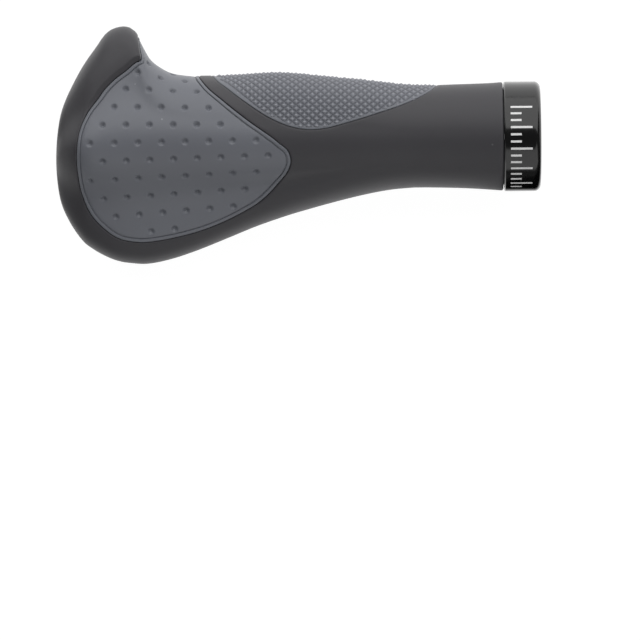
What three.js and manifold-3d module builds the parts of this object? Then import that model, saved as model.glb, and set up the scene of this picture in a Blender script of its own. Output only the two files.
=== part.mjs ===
// Ergonomic lock-on bicycle handlebar grip for the left hand, in millimetres.
// +X runs along the bar towards the stem, +Y points forwards and +Z up. The origin is the centre of
// the bar bore at the clamp ring's inboard face, so the whole grip lies at x < 0.
// A soft black rubber body carries a palm wing behind the bar and a horn in front of its outboard end.
// A grey dimpled palm pad and a grey knurled finger pad are let into it, a hard core sleeve lines the
// bore, and an aluminium ring with one cap screw clamps the core's four tabs to the bar.
import * as THREE from "three";
import { mergeVertices } from "three/addons/utils/BufferGeometryUtils.js";
import Module from "manifold-3d";

const wasm = await Module();
wasm.setup();

// Bar and core sleeve
const barRadius = 11.1;
const barClearance = 0.1;
const coreWall = 1.4;
const coreClearance = 0.2;
const boreEndWall = 14;
const tabCount = 4;
const tabLength = 4;
const tabHalfAngle = 0.3;
const boreRadius = barRadius + barClearance;
const coreRadius = boreRadius + coreWall;
const coreSeatRadius = coreRadius + coreClearance;

// Clamp ring and its screw
const ringWidth = 10.2;
const ringWall = 4.1;
const ringFillet = 1.8;
const ringChamfer = 0.3;
const ringGap = 0.3;
const bossHeight = 2.2;
const bossHalfAngle = 0.9;
const slitWidth = 1.6;
const notchClearance = 0.3;
const screwRadius = 1.5;
const screwClearance = 0.2;
const screwHeadRadius = 2.75;
const screwHeadHeight = 3;
const screwHeadStart = 4.3;
const screwLength = 12;
const screwWallInside = 0.8;
const headClearance = 0.3;
const socketAcrossFlats = 2.5;
const socketDepth = 1.5;
const ringRadius = boreRadius + ringWall;

// Rubber body
const rubberLength = 124.5;
const neckWall = 1.1;
const mouthFlare = 1.05;
const gripSwell = 1.8;
const fingerSwell = 3;
const hornReach = 13.9;
const wingReach = 19;
const wingDrop = 5;
const wingEdgeRadius = 7;
const frontSlope = 0.05;
const hornSlope = 0.3;
const hornLift = 1;
const palmDish = 1.6;
const undersideDish = 0.8;
const hornDish = 0.8;
const neckRadius = coreSeatRadius + neckWall;
const rubberStart = -(ringWidth + ringGap);

// Inserts
const palmPadThickness = 1.5;
const palmPadSink = 0.35;
const fingerPadThickness = 0.9;
const padGap = 0.3;
const dimpleRadius = 1;
const dimpleDepth = 0.5;
const dimplePitchX = 6.55;
const dimplePitchY = 4.8;
const dimpleTilt = 0.0125;
const dimpleFan = 0.0165;
const dimpleBorder = 2.4;
const knurlPitch = 2.2;
const knurlHeight = 0.45;
const knurlBorder = 1;

// Smooth curve through [share, value] knots, as a function of the share
function through(knots) {
  const slope = (i, j) => (knots[j][1] - knots[i][1]) / (knots[j][0] - knots[i][0]);
  const last = knots.length - 1;
  const tangents = knots.map((_, i) => slope(Math.max(i - 1, 0), Math.min(i + 1, last)));
  return (u) => {
    if (u <= knots[0][0]) return knots[0][1];
    if (u >= knots[last][0]) return knots[last][1];
    const i = knots.findIndex((knot) => knot[0] > u) - 1;
    const span = knots[i + 1][0] - knots[i][0];
    const t = (u - knots[i][0]) / span;
    const start = knots[i][1] * (1 + 2 * t) * (1 - t) ** 2 + tangents[i] * span * t * (1 - t) ** 2;
    return start + knots[i + 1][1] * t * t * (3 - 2 * t) - tangents[i + 1] * span * t * t * (1 - t);
  };
}

// Shapes of the grip along the rubber's length: share 0 is at the ring and 1 at the outboard tip.
// Each is 0 at the plain tube, and 1 where its feature is largest.
const mouth = through([[0, 1], [0.04, 0.62], [0.08, 0.33], [0.12, 0.14], [0.17, 0]]);
const swell = through([[0.2, 0], [0.35, 0.45], [0.5, 0.9], [0.65, 1]]);
const fingers = through([
  [0.02, 0], [0.1, 0.1], [0.18, 0.1], [0.25, 0.26], [0.3, 0.47], [0.4, 0.76], [0.46, 0.94], [0.51, 1], [0.6, 0.78],
  [0.68, 0.76], [0.8, 0.76],
]);
const horn = through([
  [0.69, 0], [0.735, 0.06], [0.76, 0.16], [0.7855, 0.34], [0.7995, 0.555], [0.8085, 0.715], [0.8175, 0.865],
  [0.8265, 0.945], [0.8355, 0.985], [0.845, 1],
]);
const wing = through([
  [0.2, 0], [0.25, 0.015], [0.3, 0.058], [0.36, 0.132], [0.42, 0.218], [0.48, 0.314], [0.55, 0.459], [0.62, 0.64],
  [0.69, 0.818], [0.746, 0.935], [0.8, 1], [0.845, 0.98],
]);
const slimming = through([[0.2, 0], [0.3, 0.07], [0.4, 0.25], [0.5, 0.49], [0.6, 0.72], [0.7, 0.89], [0.8, 1]]);
const leaning = through([[0.2, 0], [0.45, 0.45], [0.75, 1]]);

// Outboard end: past endStart the last section closes towards the tip in front and behind, and past
// crownStart in height. The front and rear knots are the squares of the width that is left, so that
// the square root of them rounds the tip.
const endStart = 0.845;
const crownStart = 0.905;
const tipShift = -6;
const frontClosing = through([
  [0, 1], [0.055, 0.996], [0.175, 0.96], [0.283, 0.88], [0.403, 0.724], [0.575, 0.53], [0.748, 0.327], [0.872, 0.19],
  [0.938, 0.108], [1, 0],
]);
const rearClosing = through([
  [0, 1], [0.09, 0.975], [0.2, 0.93], [0.37, 0.827], [0.5, 0.73], [0.6, 0.645], [0.72, 0.492], [0.83, 0.332],
  [0.94, 0.155], [1, 0],
]);
const crownClosing = (t) => 1 - Math.max(t, 0) ** 2.4;
const endShare = (u, start) => Math.min((u - start) / (1 - start), 1);

const circleSteps = 14;

// A quarter of a section, in its own quadrant: round the hub, along the flank and round the lobe
function quarter(hub, lobe, dish) {
  const [dy, dz] = [lobe.y - hub.y, lobe.z - hub.z];
  const normal = Math.atan2(dz, dy) + Math.acos((hub.r - lobe.r) / Math.hypot(dy, dz));
  const onCircle = (c, angle) => [c.y + c.r * Math.cos(angle), c.z + c.r * Math.sin(angle)];
  const points = [];
  for (let i = 0; i <= circleSteps; i++) {
    points.push(onCircle(hub, Math.PI / 2 + ((normal - Math.PI / 2) * i) / circleSteps));
  }
  const [from, to] = [onCircle(hub, normal), onCircle(lobe, normal)];
  for (let i = 1; i < circleSteps; i++) {
    const t = i / circleSteps;
    const sink = dish * Math.sin(Math.PI * t) ** 2;
    points.push([
      from[0] + (to[0] - from[0]) * t - sink * Math.cos(normal),
      from[1] + (to[1] - from[1]) * t - sink * Math.sin(normal),
    ]);
  }
  for (let i = 0; i <= circleSteps; i++) points.push(onCircle(lobe, (normal * (circleSteps - i)) / circleSteps));
  return points;
}

// The section at share u, drawn inside the skin by inset, as four quarters of [y, z] points.
// Each runs from the crown or the keel to the front or the rear edge.
function section(u, inset = 0) {
  const b = Math.min(u, endStart);
  const hubRadius = neckRadius + mouthFlare * mouth(b) + gripSwell * swell(b) - inset;
  const wingTaper = 0.15 + (neckRadius + gripSwell - wingEdgeRadius - 0.15) * slimming(b);
  const slope = frontSlope + (hornSlope - frontSlope) * leaning(b);
  const flare = mouthFlare * mouth(b);
  const frontReach = neckRadius + 0.25 + flare + fingerSwell * fingers(b) + hornReach * horn(b) + gripSwell * swell(b) * 0.7;
  const rearReach = neckRadius + 0.15 + flare + wingReach * wing(b) + gripSwell * swell(b) * 0.9;
  const hub = { y: 0, z: 0, r: hubRadius };
  const wingLobe = { r: hubRadius - wingTaper, z: -wingDrop * slimming(b) };
  const hornLobe = { r: (hubRadius - slope * (frontReach - inset)) / (1 - slope), z: hornLift * horn(b) };
  wingLobe.y = rearReach - inset - wingLobe.r;
  hornLobe.y = frontReach - inset - hornLobe.r;
  const under = (lobe) => ({ ...lobe, z: -lobe.z });
  const front = Math.sqrt(frontClosing(endShare(u, endStart)));
  const rear = Math.sqrt(rearClosing(endShare(u, endStart)));
  const crown = Math.sqrt(crownClosing(endShare(u, crownStart)));
  const place = (points, side, up) =>
    points.map(([y, z]) => {
      const across = side * y - tipShift;
      return [tipShift + across * (across > 0 ? front : rear), up * z * crown];
    });
  return {
    frontTop: place(quarter(hub, hornLobe, hornDish * horn(b)), 1, 1),
    rearTop: place(quarter(hub, wingLobe, palmDish * slimming(b)), -1, 1),
    rearUnder: place(quarter(hub, under(wingLobe), undersideDish * slimming(b)), -1, -1),
    frontUnder: place(quarter(hub, under(hornLobe), hornDish * horn(b)), 1, -1),
  };
}

// A polyline's point at a distance along it, and the polyline's length
function along(points, distance) {
  let left = distance;
  for (let i = 1; i < points.length; i++) {
    const step = Math.hypot(points[i][0] - points[i - 1][0], points[i][1] - points[i - 1][1]);
    if (left <= step || i === points.length - 1) {
      const t = step > 0 ? left / step : 0;
      return points[i].map((v, k) => points[i - 1][k] + (v - points[i - 1][k]) * t);
    }
    left -= step;
  }
}

function lengthOf(points) {
  return points.reduce((sum, p, i) => (i ? sum + Math.hypot(p[0] - points[i - 1][0], p[1] - points[i - 1][1]) : 0), 0);
}

const xAt = (u) => rubberStart - rubberLength * u;
const shareAt = (x) => (rubberStart - x) / rubberLength;

// A closed ring of [y, z] points round the section, with the given number of points in each quarter
function loop(u, inset, counts) {
  const parts = section(u, inset);
  const ring = [];
  const add = (points, count, backwards) => {
    const run = backwards ? [...points].reverse() : points;
    const total = lengthOf(run);
    for (let i = 0; i < count; i++) ring.push(along(run, (total * i) / count));
  };
  add(parts.rearTop, counts.rearTop, false);
  add(parts.rearUnder, counts.rearUnder, true);
  add(parts.frontUnder, counts.frontUnder, false);
  add(parts.frontTop, counts.frontTop, true);
  return ring;
}

// Solid bounded by equal rings of [x, y, z] points, listed towards -X, with a flat fan at each end
function loft(rings) {
  const n = rings[0].length;
  const vertices = rings.flat();
  const faces = [];
  for (let i = 0; i + 1 < rings.length; i++) {
    for (let j = 0; j < n; j++) {
      const k = (j + 1) % n;
      faces.push([i * n + j, (i + 1) * n + j, i * n + k], [i * n + k, (i + 1) * n + j, (i + 1) * n + k]);
    }
  }
  for (const [start, forwards] of [[0, true], [(rings.length - 1) * n, false]]) {
    const ring = vertices.slice(start, start + n);
    const middle = [0, 1, 2].map((k) => ring.reduce((sum, p) => sum + p[k], 0) / n);
    vertices.push(middle);
    for (let j = 0; j < n; j++) {
      const edge = [start + j, start + ((j + 1) % n)];
      faces.push([vertices.length - 1, ...(forwards ? edge : edge.reverse())]);
    }
  }
  return new wasm.Manifold(
    new wasm.Mesh({ numProp: 3, vertProperties: new Float32Array(vertices.flat()), triVerts: new Uint32Array(faces.flat()) }),
  );
}

// Stations along the rubber: [share where the stretch ends, number of steps in it]
const fineStations = [[0.7, 12], [0.775, 4], [0.845, 8], [0.905, 4]];
const coarseStations = [[0.7, 9], [0.775, 3], [0.845, 5], [0.905, 3]];
const tipSteps = 8;
const lastShare = 0.9995;

function stations(stretches) {
  const shares = [0];
  for (const [end, steps] of stretches) {
    const start = shares.at(-1);
    for (let i = 1; i <= steps; i++) shares.push(start + ((end - start) * i) / steps);
  }
  const start = shares.at(-1);
  for (let i = 1; i <= tipSteps; i++) shares.push(start + (lastShare - start) * Math.sin((Math.PI / 2) * (i / tipSteps)));
  return shares;
}

const fineCounts = { rearTop: 10, rearUnder: 8, frontUnder: 8, frontTop: 8 };
const coarseCounts = { rearTop: 8, rearUnder: 6, frontUnder: 7, frontTop: 7 };

function skin(inset, stretches, counts) {
  return loft(stations(stretches).map((u) => loop(u, inset, counts).map(([y, z]) => [xAt(u), y, z])));
}

// A closed three.js geometry as a solid
function solid(geometry) {
  const bare = geometry.clone();
  for (const name of Object.keys(bare.attributes)) if (name !== "position") bare.deleteAttribute(name);
  const merged = mergeVertices(bare, 1e-4);
  return new wasm.Manifold(
    new wasm.Mesh({
      numProp: 3,
      vertProperties: new Float32Array(merged.attributes.position.array),
      triVerts: new Uint32Array(merged.index.array),
    }),
  );
}

const alongX = new THREE.Matrix4().makeBasis(
  new THREE.Vector3(0, 1, 0), new THREE.Vector3(0, 0, 1), new THREE.Vector3(1, 0, 0),
);

// A [y, z] outline pulled along X between two places
function prismAlongX(outline, fromX, toX) {
  const shape = new THREE.Shape(outline.map(([y, z]) => new THREE.Vector2(y, z)));
  const geometry = new THREE.ExtrudeGeometry(shape, { depth: toX - fromX, bevelEnabled: false });
  return solid(geometry.applyMatrix4(alongX).translate(fromX, 0, 0));
}

// An [x, y] outline pulled along Z between two heights
function prismAlongZ(outline, fromZ, toZ) {
  const shape = new THREE.Shape(outline.map(([x, y]) => new THREE.Vector2(x, y)));
  const geometry = new THREE.ExtrudeGeometry(shape, { depth: toZ - fromZ, bevelEnabled: false });
  return solid(geometry.translate(0, 0, fromZ));
}

function circle(radius, count) {
  return Array.from({ length: count }, (_, i) => {
    const angle = (2 * Math.PI * i) / count;
    return [radius * Math.cos(angle), radius * Math.sin(angle)];
  });
}

const boreSides = 36;
const cutMargin = 1;
const rubberEnd = xAt(1);
const coreEnd = rubberEnd + boreEndWall;

// Palm pad outline seen from above: shares of the length against the distance ahead of the bar's
// centre line. It starts on the strip in front of the bar and runs round the wing to the horn.
const palmOutline = [
  [0.676, 17.2], [0.658, 14.2], [0.624, 10.5], [0.57, 5], [0.53, 1.3], [0.5, -1.6], [0.48, -3.8], [0.4735, -6.6],
  [0.482, -9.8], [0.508, -13.6], [0.548, -18.2], [0.588, -21.1], [0.634, -23.8], [0.68, -25.9], [0.73, -27.5],
  [0.78, -28.6], [0.822, -28.8], [0.86, -27.8], [0.89, -25.4], [0.917, -21.7], [0.936, -16.4], [0.946, -10],
  [0.948, -4], [0.941, 2.3], [0.925, 7.2], [0.9, 11.9], [0.867, 16.5], [0.832, 19.9], [0.8065, 22.1], [0.8085, 24.8],
  [0.813, 27.4], [0.822, 29.8],
];
const pastFront = 33;
const palmFrontEnds = [[0.824, pastFront], [0.676, pastFront]];

// Finger pad outline seen from above, a leaf cut off by the front of the grip
const fingerOutline = [
  [0.65, 19], [0.636, 16], [0.61, 13.3], [0.562, 8.7], [0.51, 4.65], [0.46, 2.45], [0.428, 2], [0.397, 2.35], [0.35, 3.8],
  [0.282, 6.4], [0.215, 9.35], [0.18, 11.4], [0.157, 13.4], [0.146, 15.5],
];
const fingerFrontEnds = [[0.146, pastFront], [0.65, pastFront]];

// A smooth outline in millimetres through [share, y] points, moved outwards by grow
function smoothOutline(points, ends, grow, steps) {
  const flat = points.map(([u, y]) => new THREE.Vector2(xAt(u), y));
  const curve = new THREE.SplineCurve(flat).getPoints(steps);
  const closed = [...curve, ...ends.map(([u, y]) => new THREE.Vector2(xAt(u), y))];
  const area = THREE.ShapeUtils.area(closed);
  return closed.map((p, i) => {
    const before = closed.at(i - 1);
    const after = closed[(i + 1) % closed.length];
    const direction = after.clone().sub(before).normalize();
    const side = Math.sign(area);
    return [p.x + side * grow * direction.y, p.y - side * grow * direction.x];
  });
}

const palmSteps = 56;
const fingerSteps = 34;
const palmFrontLow = -9;
const tall = 30;

// What lies inside the palm pad's edge: it takes in the top of the wing, and in front of the bar it
// runs further down and ends in round corners
function palmPrism(grow) {
  const outline = smoothOutline(palmOutline, palmFrontEnds, grow, palmSteps);
  const middle = (xAt(palmFrontEnds[0][0]) + xAt(palmFrontEnds[1][0])) / 2;
  const half = (xAt(palmFrontEnds[1][0]) - xAt(palmFrontEnds[0][0])) / 2;
  const corner = palmFrontLow + half;
  const onWing = prismAlongZ(outline, corner - grow, tall);
  const round = new THREE.CylinderGeometry(half + grow, half + grow, tall, 32).translate(middle, tall / 2 + 1, corner);
  const above = new THREE.BoxGeometry(rubberLength, tall, tall).translate(middle, tall / 2 + 1, corner + tall / 2);
  const inFront = prismAlongZ(outline, -tall, tall).intersect(solid(round).add(solid(above)));
  return onWing.add(inFront);
}

function fingerPrism(grow) {
  return prismAlongZ(smoothOutline(fingerOutline, fingerFrontEnds, grow, fingerSteps), -tall, tall);
}

// Whether a point seen from above lies inside an outline by at least a margin
function insideBy(outline, x, y, margin) {
  let inside = false;
  let nearest = Infinity;
  outline.forEach(([x1, y1], i) => {
    const [x2, y2] = outline[(i + 1) % outline.length];
    if (y1 > y !== y2 > y && x < x1 + ((x2 - x1) * (y - y1)) / (y2 - y1)) inside = !inside;
    const t = Math.min(1, Math.max(0, ((x - x1) * (x2 - x1) + (y - y1) * (y2 - y1)) / ((x2 - x1) ** 2 + (y2 - y1) ** 2)));
    nearest = Math.min(nearest, Math.hypot(x - x1 - t * (x2 - x1), y - y1 - t * (y2 - y1)));
  });
  return inside && nearest >= margin;
}

// Height of the upper skin at a place seen from above, drawn inside the skin by inset
function heightAt(x, y, inset) {
  const parts = section(shareAt(x), inset);
  const points = [...[...parts.rearTop].reverse(), ...parts.frontTop];
  const i = points.findIndex((p) => p[0] > y);
  if (i < 1) return 0;
  const t = (y - points[i - 1][0]) / (points[i][0] - points[i - 1][0]);
  return points[i - 1][1] + (points[i][1] - points[i - 1][1]) * t;
}

// How far ahead of the bar a place on the upper skin is, that lies a distance further round from y
function aheadFrom(x, y, distance) {
  const points = section(shareAt(x), palmPadSink).frontTop;
  const next = points.findIndex((p) => p[0] > y);
  if (next < 1) return pastFront;
  return along([[y, heightAt(x, y, palmPadSink)], ...points.slice(next)], distance)[0];
}

// Cutters for the dents in the palm pad, on staggered rows that follow its fall in front of the bar
function dimpleCutters() {
  const outline = smoothOutline(palmOutline, palmFrontEnds, 0, palmSteps);
  const ballRadius = (dimpleRadius ** 2 + dimpleDepth ** 2) / (2 * dimpleDepth);
  const firstX = xAt(0.92);
  const middleX = xAt(0.73);
  const firstY = -1.05;
  const lastLevelRow = 3;
  const probe = 0.2;
  const cutters = [];
  for (let row = -6; row <= 5; row++) {
    const level = Math.min(row, lastLevelRow);
    for (let column = -1; column <= 9; column++) {
      const x = firstX + (column + (row % 2 ? 0.5 : 0)) * dimplePitchX;
      const levelY = firstY + level * dimplePitchY + (x - middleX) * (dimpleTilt - dimpleFan * level);
      const y = row > level ? aheadFrom(x, levelY, (row - level) * dimplePitchY) : levelY;
      const z = heightAt(x, y, palmPadSink);
      if (z < 1 || !insideBy(outline, x, y, dimpleBorder)) continue;
      const slopeX = (heightAt(x + probe, y, palmPadSink) - heightAt(x - probe, y, palmPadSink)) / (2 * probe);
      const slopeY = (heightAt(x, y + probe, palmPadSink) - heightAt(x, y - probe, palmPadSink)) / (2 * probe);
      const normal = new THREE.Vector3(-slopeX, -slopeY, 1).normalize();
      const centre = new THREE.Vector3(x, y, z).addScaledVector(normal, ballRadius - dimpleDepth);
      const ball = new THREE.SphereGeometry(ballRadius, 7, 6).rotateX(Math.PI / 2);
      ball.applyQuaternion(new THREE.Quaternion().setFromUnitVectors(new THREE.Vector3(0, 0, 1), normal));
      cutters.push(solid(ball.translate(centre.x, centre.y, centre.z)));
    }
  }
  return cutters;
}

function palmPad() {
  const floor = skin(palmPadSink + palmPadThickness, coarseStations, coarseCounts);
  const blank = skin(palmPadSink, fineStations, fineCounts).intersect(palmPrism(0)).subtract(floor);
  return wasm.Manifold.difference([blank, ...dimpleCutters()]);
}

// Finger pad: its outer face is a lattice of pyramids, pitched along X and round the section from the
// grip's front line. Lattice points are peaks and valleys by turns.
function fingerPad() {
  const outline = smoothOutline(fingerOutline, fingerFrontEnds, 0, fingerSteps);
  const step = knurlPitch / 2;
  const [startX, endX] = [xAt(0.66), xAt(0.14)];
  const columns = Math.ceil((endX - startX) / step);
  const rows = 27;
  const rootScale = 0.6;
  const outer = [];
  const inner = [];
  for (let i = 0; i <= columns; i++) {
    const x = startX + i * step;
    const flatParts = section(shareAt(x), 0);
    const peakParts = section(shareAt(x), -knurlHeight);
    const [outerRow, innerRow] = [[], []];
    for (let j = -rows; j <= rows; j++) {
      const key = j < 0 ? "frontUnder" : "frontTop";
      const flat = [...flatParts[key]].reverse();
      const [y, z] = along(flat, Math.abs(j) * step);
      const raised = (i + j) % 2 === 0 && insideBy(outline, x, Math.min(y, pastFront), knurlBorder);
      const peak = [...peakParts[key]].reverse();
      const share = (Math.abs(j) * step) / lengthOf(flat);
      const [py, pz] = raised ? along(peak, share * lengthOf(peak)) : [y, z];
      outerRow.push([x, py, pz]);
      innerRow.push([x, y * rootScale, z * rootScale]);
    }
    outer.push(outerRow);
    inner.push(innerRow);
  }
  return latticeBlock(outer, inner).intersect(fingerPrism(0)).subtract(
    skin(fingerPadThickness, coarseStations, coarseCounts),
  );
}

// Solid between an outer and an inner grid of points. The outer face's diagonals join the valleys.
function latticeBlock(outer, inner) {
  const [m, n] = [outer.length, outer[0].length];
  const vertices = [...outer.flat(), ...inner.flat()];
  const at = (layer, i, j) => layer * m * n + i * n + j;
  const faces = [];
  const quad = (a, b, c, d) => faces.push([a, b, c], [a, c, d]);
  for (let i = 0; i + 1 < m; i++) {
    for (let j = 0; j + 1 < n; j++) {
      const corners = [at(0, i, j), at(0, i, j + 1), at(0, i + 1, j + 1), at(0, i + 1, j)];
      if ((i + j + (n - 1) / 2) % 2 === 0) corners.push(corners.shift());
      quad(...corners);
      quad(at(1, i, j), at(1, i + 1, j), at(1, i + 1, j + 1), at(1, i, j + 1));
    }
    quad(at(0, i, 0), at(0, i + 1, 0), at(1, i + 1, 0), at(1, i, 0));
    quad(at(0, i, n - 1), at(1, i, n - 1), at(1, i + 1, n - 1), at(0, i + 1, n - 1));
  }
  for (let j = 0; j + 1 < n; j++) {
    quad(at(0, 0, j), at(1, 0, j), at(1, 0, j + 1), at(0, 0, j + 1));
    quad(at(0, m - 1, j), at(0, m - 1, j + 1), at(1, m - 1, j + 1), at(1, m - 1, j));
  }
  return new wasm.Manifold(
    new wasm.Mesh({ numProp: 3, vertProperties: new Float32Array(vertices.flat()), triVerts: new Uint32Array(faces.flat()) }),
  );
}

// Rubber body with the bore for the core and a pocket under each pad
function rubberBody() {
  const bore = prismAlongX(circle(coreSeatRadius, boreSides), coreEnd - coreClearance, cutMargin);
  const palmPocket = palmPrism(padGap).subtract(skin(palmPadSink + palmPadThickness + padGap, coarseStations, coarseCounts));
  const fingerPocket = fingerPrism(padGap).subtract(skin(fingerPadThickness + padGap, coarseStations, coarseCounts));
  return skin(0, fineStations, fineCounts).subtract(bore).subtract(palmPocket).subtract(fingerPocket);
}

// A sector of a tube round the bar axis, from one angle to another
function sector(innerRadius, outerRadius, middle, halfAngle, fromX, toX) {
  const steps = 3;
  const arc = (radius, direction) =>
    Array.from({ length: steps + 1 }, (_, i) => {
      const angle = middle + direction * halfAngle * (1 - (2 * i) / steps);
      return [radius * Math.cos(angle), radius * Math.sin(angle)];
    });
  return prismAlongX([...arc(outerRadius, -1), ...arc(innerRadius, 1)], fromX, toX);
}

const tabAngles = Array.from({ length: tabCount }, (_, i) => ((2 * i + 1) * Math.PI) / tabCount);

// Hard sleeve inside the rubber, with tabs that reach into the clamp ring
function coreSleeve() {
  const bar = prismAlongX(circle(boreRadius, boreSides), coreEnd - cutMargin, cutMargin);
  const tube = prismAlongX(circle(coreRadius, boreSides), coreEnd, rubberStart).subtract(bar);
  const tabs = tabAngles.map((angle) =>
    sector(boreRadius + coreWall / 8, coreRadius - coreWall / 8, angle, tabHalfAngle, rubberStart - cutMargin, tabLength - ringWidth),
  );
  return wasm.Manifold.union([tube, ...tabs]);
}

// Outer outline of the clamp ring, round with a low boss underneath where the screw crosses
function ringOutline(inset) {
  const count = 48;
  return Array.from({ length: count }, (_, i) => {
    const angle = (2 * Math.PI * i) / count - Math.PI / 2;
    const fromBoss = Math.abs(Math.atan2(Math.sin(angle + Math.PI / 2), Math.cos(angle + Math.PI / 2)));
    const rise = Math.cos((Math.PI / 2) * Math.min(1, fromBoss / bossHalfAngle) ** 1.5) ** 2;
    const radius = ringRadius + bossHeight * rise - inset;
    return [radius * Math.cos(angle), radius * Math.sin(angle)];
  });
}

const screwX = -ringWidth * 0.36;
const screwZ = -(boreRadius + screwWallInside + screwRadius + screwClearance);

// Aluminium clamp ring: bore, slit, notches for the core's tabs, screw hole and seat for its head
function clampRing() {
  const filletSteps = 3;
  const layers = [[-ringWidth, ringChamfer], [ringChamfer - ringWidth, 0]];
  for (let i = 0; i <= filletSteps; i++) {
    const angle = ((Math.PI / 2) * i) / filletSteps;
    layers.push([-ringFillet * (1 - Math.sin(angle)), ringFillet * (1 - Math.cos(angle))]);
  }
  const blank = loft(layers.reverse().map(([x, inset]) => ringOutline(inset).map(([y, z]) => [x, y, z])));
  const bore = prismAlongX(circle(boreRadius, boreSides), -ringWidth - cutMargin, cutMargin);
  const notches = tabAngles.map((angle) =>
    sector(
      boreRadius - cutMargin, coreRadius + notchClearance, angle, tabHalfAngle + notchClearance / boreRadius,
      -ringWidth - cutMargin, tabLength - ringWidth + notchClearance,
    ),
  );
  const slit = solid(new THREE.BoxGeometry(ringWidth * 3, slitWidth, tall).translate(0, 0, -tall / 2));
  const holeRadius = screwRadius + screwClearance;
  const hole = solid(new THREE.CylinderGeometry(holeRadius, holeRadius, tall, 16).translate(screwX, 0, screwZ));
  const seatRadius = screwHeadRadius + headClearance;
  const seat = solid(
    new THREE.CylinderGeometry(seatRadius, seatRadius, tall, 24).translate(screwX, -screwHeadStart - tall / 2, screwZ),
  );
  return wasm.Manifold.difference([blank, bore, ...notches, slit, hole, seat]);
}

// Socket head cap screw across the slit, its head towards the rear
function clampScrew() {
  const headTop = screwHeadStart + headClearance + screwHeadHeight;
  const tip = headTop - screwHeadHeight - screwLength;
  const bevel = 0.3;
  const profile = [
    [0, tip], [screwRadius - bevel, tip], [screwRadius, tip + bevel], [screwRadius, headTop - screwHeadHeight],
    [screwHeadRadius, headTop - screwHeadHeight], [screwHeadRadius, headTop - bevel], [screwHeadRadius - bevel, headTop],
    [0, headTop],
  ];
  const turned = new THREE.LatheGeometry(profile.map(([r, h]) => new THREE.Vector2(r, h)), 24);
  const socketRadius = socketAcrossFlats / Math.sqrt(3);
  const socket = new THREE.CylinderGeometry(socketRadius, socketRadius, 2 * socketDepth, 6).translate(0, headTop, 0);
  const screw = solid(turned).subtract(solid(socket));
  return screw.rotate([180, 0, 0]).translate([screwX, 0, screwZ]);
}

const rubberBlack = new THREE.MeshStandardMaterial({ color: 0x2b2b2d, roughness: 0.62, metalness: 0 });
const padGrey = new THREE.MeshStandardMaterial({ color: 0x54575c, roughness: 0.58, metalness: 0 });
const corePlastic = new THREE.MeshStandardMaterial({ color: 0x1a1a1b, roughness: 0.45, metalness: 0 });
const ringBlack = new THREE.MeshStandardMaterial({ color: 0x141414, roughness: 0.18, metalness: 0.6 });
const screwSteel = new THREE.MeshStandardMaterial({ color: 0x2f2f31, roughness: 0.35, metalness: 0.9 });

// A solid as a named three.js mesh
function mesh(name, body, material) {
  const { vertProperties, numProp, triVerts } = body.getMesh();
  const geometry = new THREE.BufferGeometry();
  geometry.setAttribute("position", new THREE.InterleavedBufferAttribute(new THREE.InterleavedBuffer(vertProperties, numProp), 3, 0));
  geometry.setIndex(new THREE.BufferAttribute(triVerts, 1));
  const made = new THREE.Mesh(geometry, material);
  made.name = name;
  return made;
}

const grip = new THREE.Group();
grip.add(mesh("rubber_body", rubberBody(), rubberBlack));
grip.add(mesh("palm_pad", palmPad(), padGrey));
grip.add(mesh("finger_pad", fingerPad(), padGrey));
grip.add(mesh("core_sleeve", coreSleeve(), corePlastic));
grip.add(mesh("clamp_ring", clampRing(), ringBlack));
grip.add(mesh("clamp_screw", clampScrew(), screwSteel));

export default grip;
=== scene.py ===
# Left-hand ergonomic handlebar grip with a lock-on ring, seen from straight above on white.
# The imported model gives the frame: the origin is on the bar's axis at the ring's inboard face, +X
# points to the stem, +Y forwards and +Z up. Sizes are in millimetres until a mesh is made.
import math

import bmesh
import bpy
import numpy as np
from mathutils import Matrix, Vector, geometry


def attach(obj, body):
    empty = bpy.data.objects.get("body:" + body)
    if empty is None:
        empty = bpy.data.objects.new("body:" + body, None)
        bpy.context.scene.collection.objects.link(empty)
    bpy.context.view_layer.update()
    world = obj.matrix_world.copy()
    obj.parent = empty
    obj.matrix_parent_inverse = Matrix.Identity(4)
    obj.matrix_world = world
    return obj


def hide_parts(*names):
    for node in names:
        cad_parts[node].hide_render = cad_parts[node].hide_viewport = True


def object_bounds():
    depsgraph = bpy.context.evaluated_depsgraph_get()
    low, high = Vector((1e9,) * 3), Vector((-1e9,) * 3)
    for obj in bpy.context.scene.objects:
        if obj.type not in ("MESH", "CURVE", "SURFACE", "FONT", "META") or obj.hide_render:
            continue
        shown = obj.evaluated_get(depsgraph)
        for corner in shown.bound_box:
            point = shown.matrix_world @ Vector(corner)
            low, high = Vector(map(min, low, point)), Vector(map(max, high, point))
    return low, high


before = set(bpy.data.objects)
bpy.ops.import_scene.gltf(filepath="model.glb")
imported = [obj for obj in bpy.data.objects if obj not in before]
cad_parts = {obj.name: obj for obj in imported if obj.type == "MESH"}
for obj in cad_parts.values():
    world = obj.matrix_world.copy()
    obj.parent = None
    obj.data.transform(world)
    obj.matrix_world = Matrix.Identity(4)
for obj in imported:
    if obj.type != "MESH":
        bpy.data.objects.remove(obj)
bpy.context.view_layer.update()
scene = bpy.context.scene

# Core sleeve
# A plain injection moulded nylon tube that lines the bar's bore, with tabs that key into the ring.
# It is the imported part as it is, because only its inside and its end can be seen, through the ring.
# One millimetre in metres
MM = 0.001


def linear(hex_colour):
    """An sRGB hex colour as linear RGBA."""
    channels = [int(hex_colour[i : i + 2], 16) / 255 for i in (1, 3, 5)]
    return [c / 12.92 if c <= 0.04045 else ((c + 0.055) / 1.055) ** 2.4 for c in channels] + [1.0]


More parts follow.
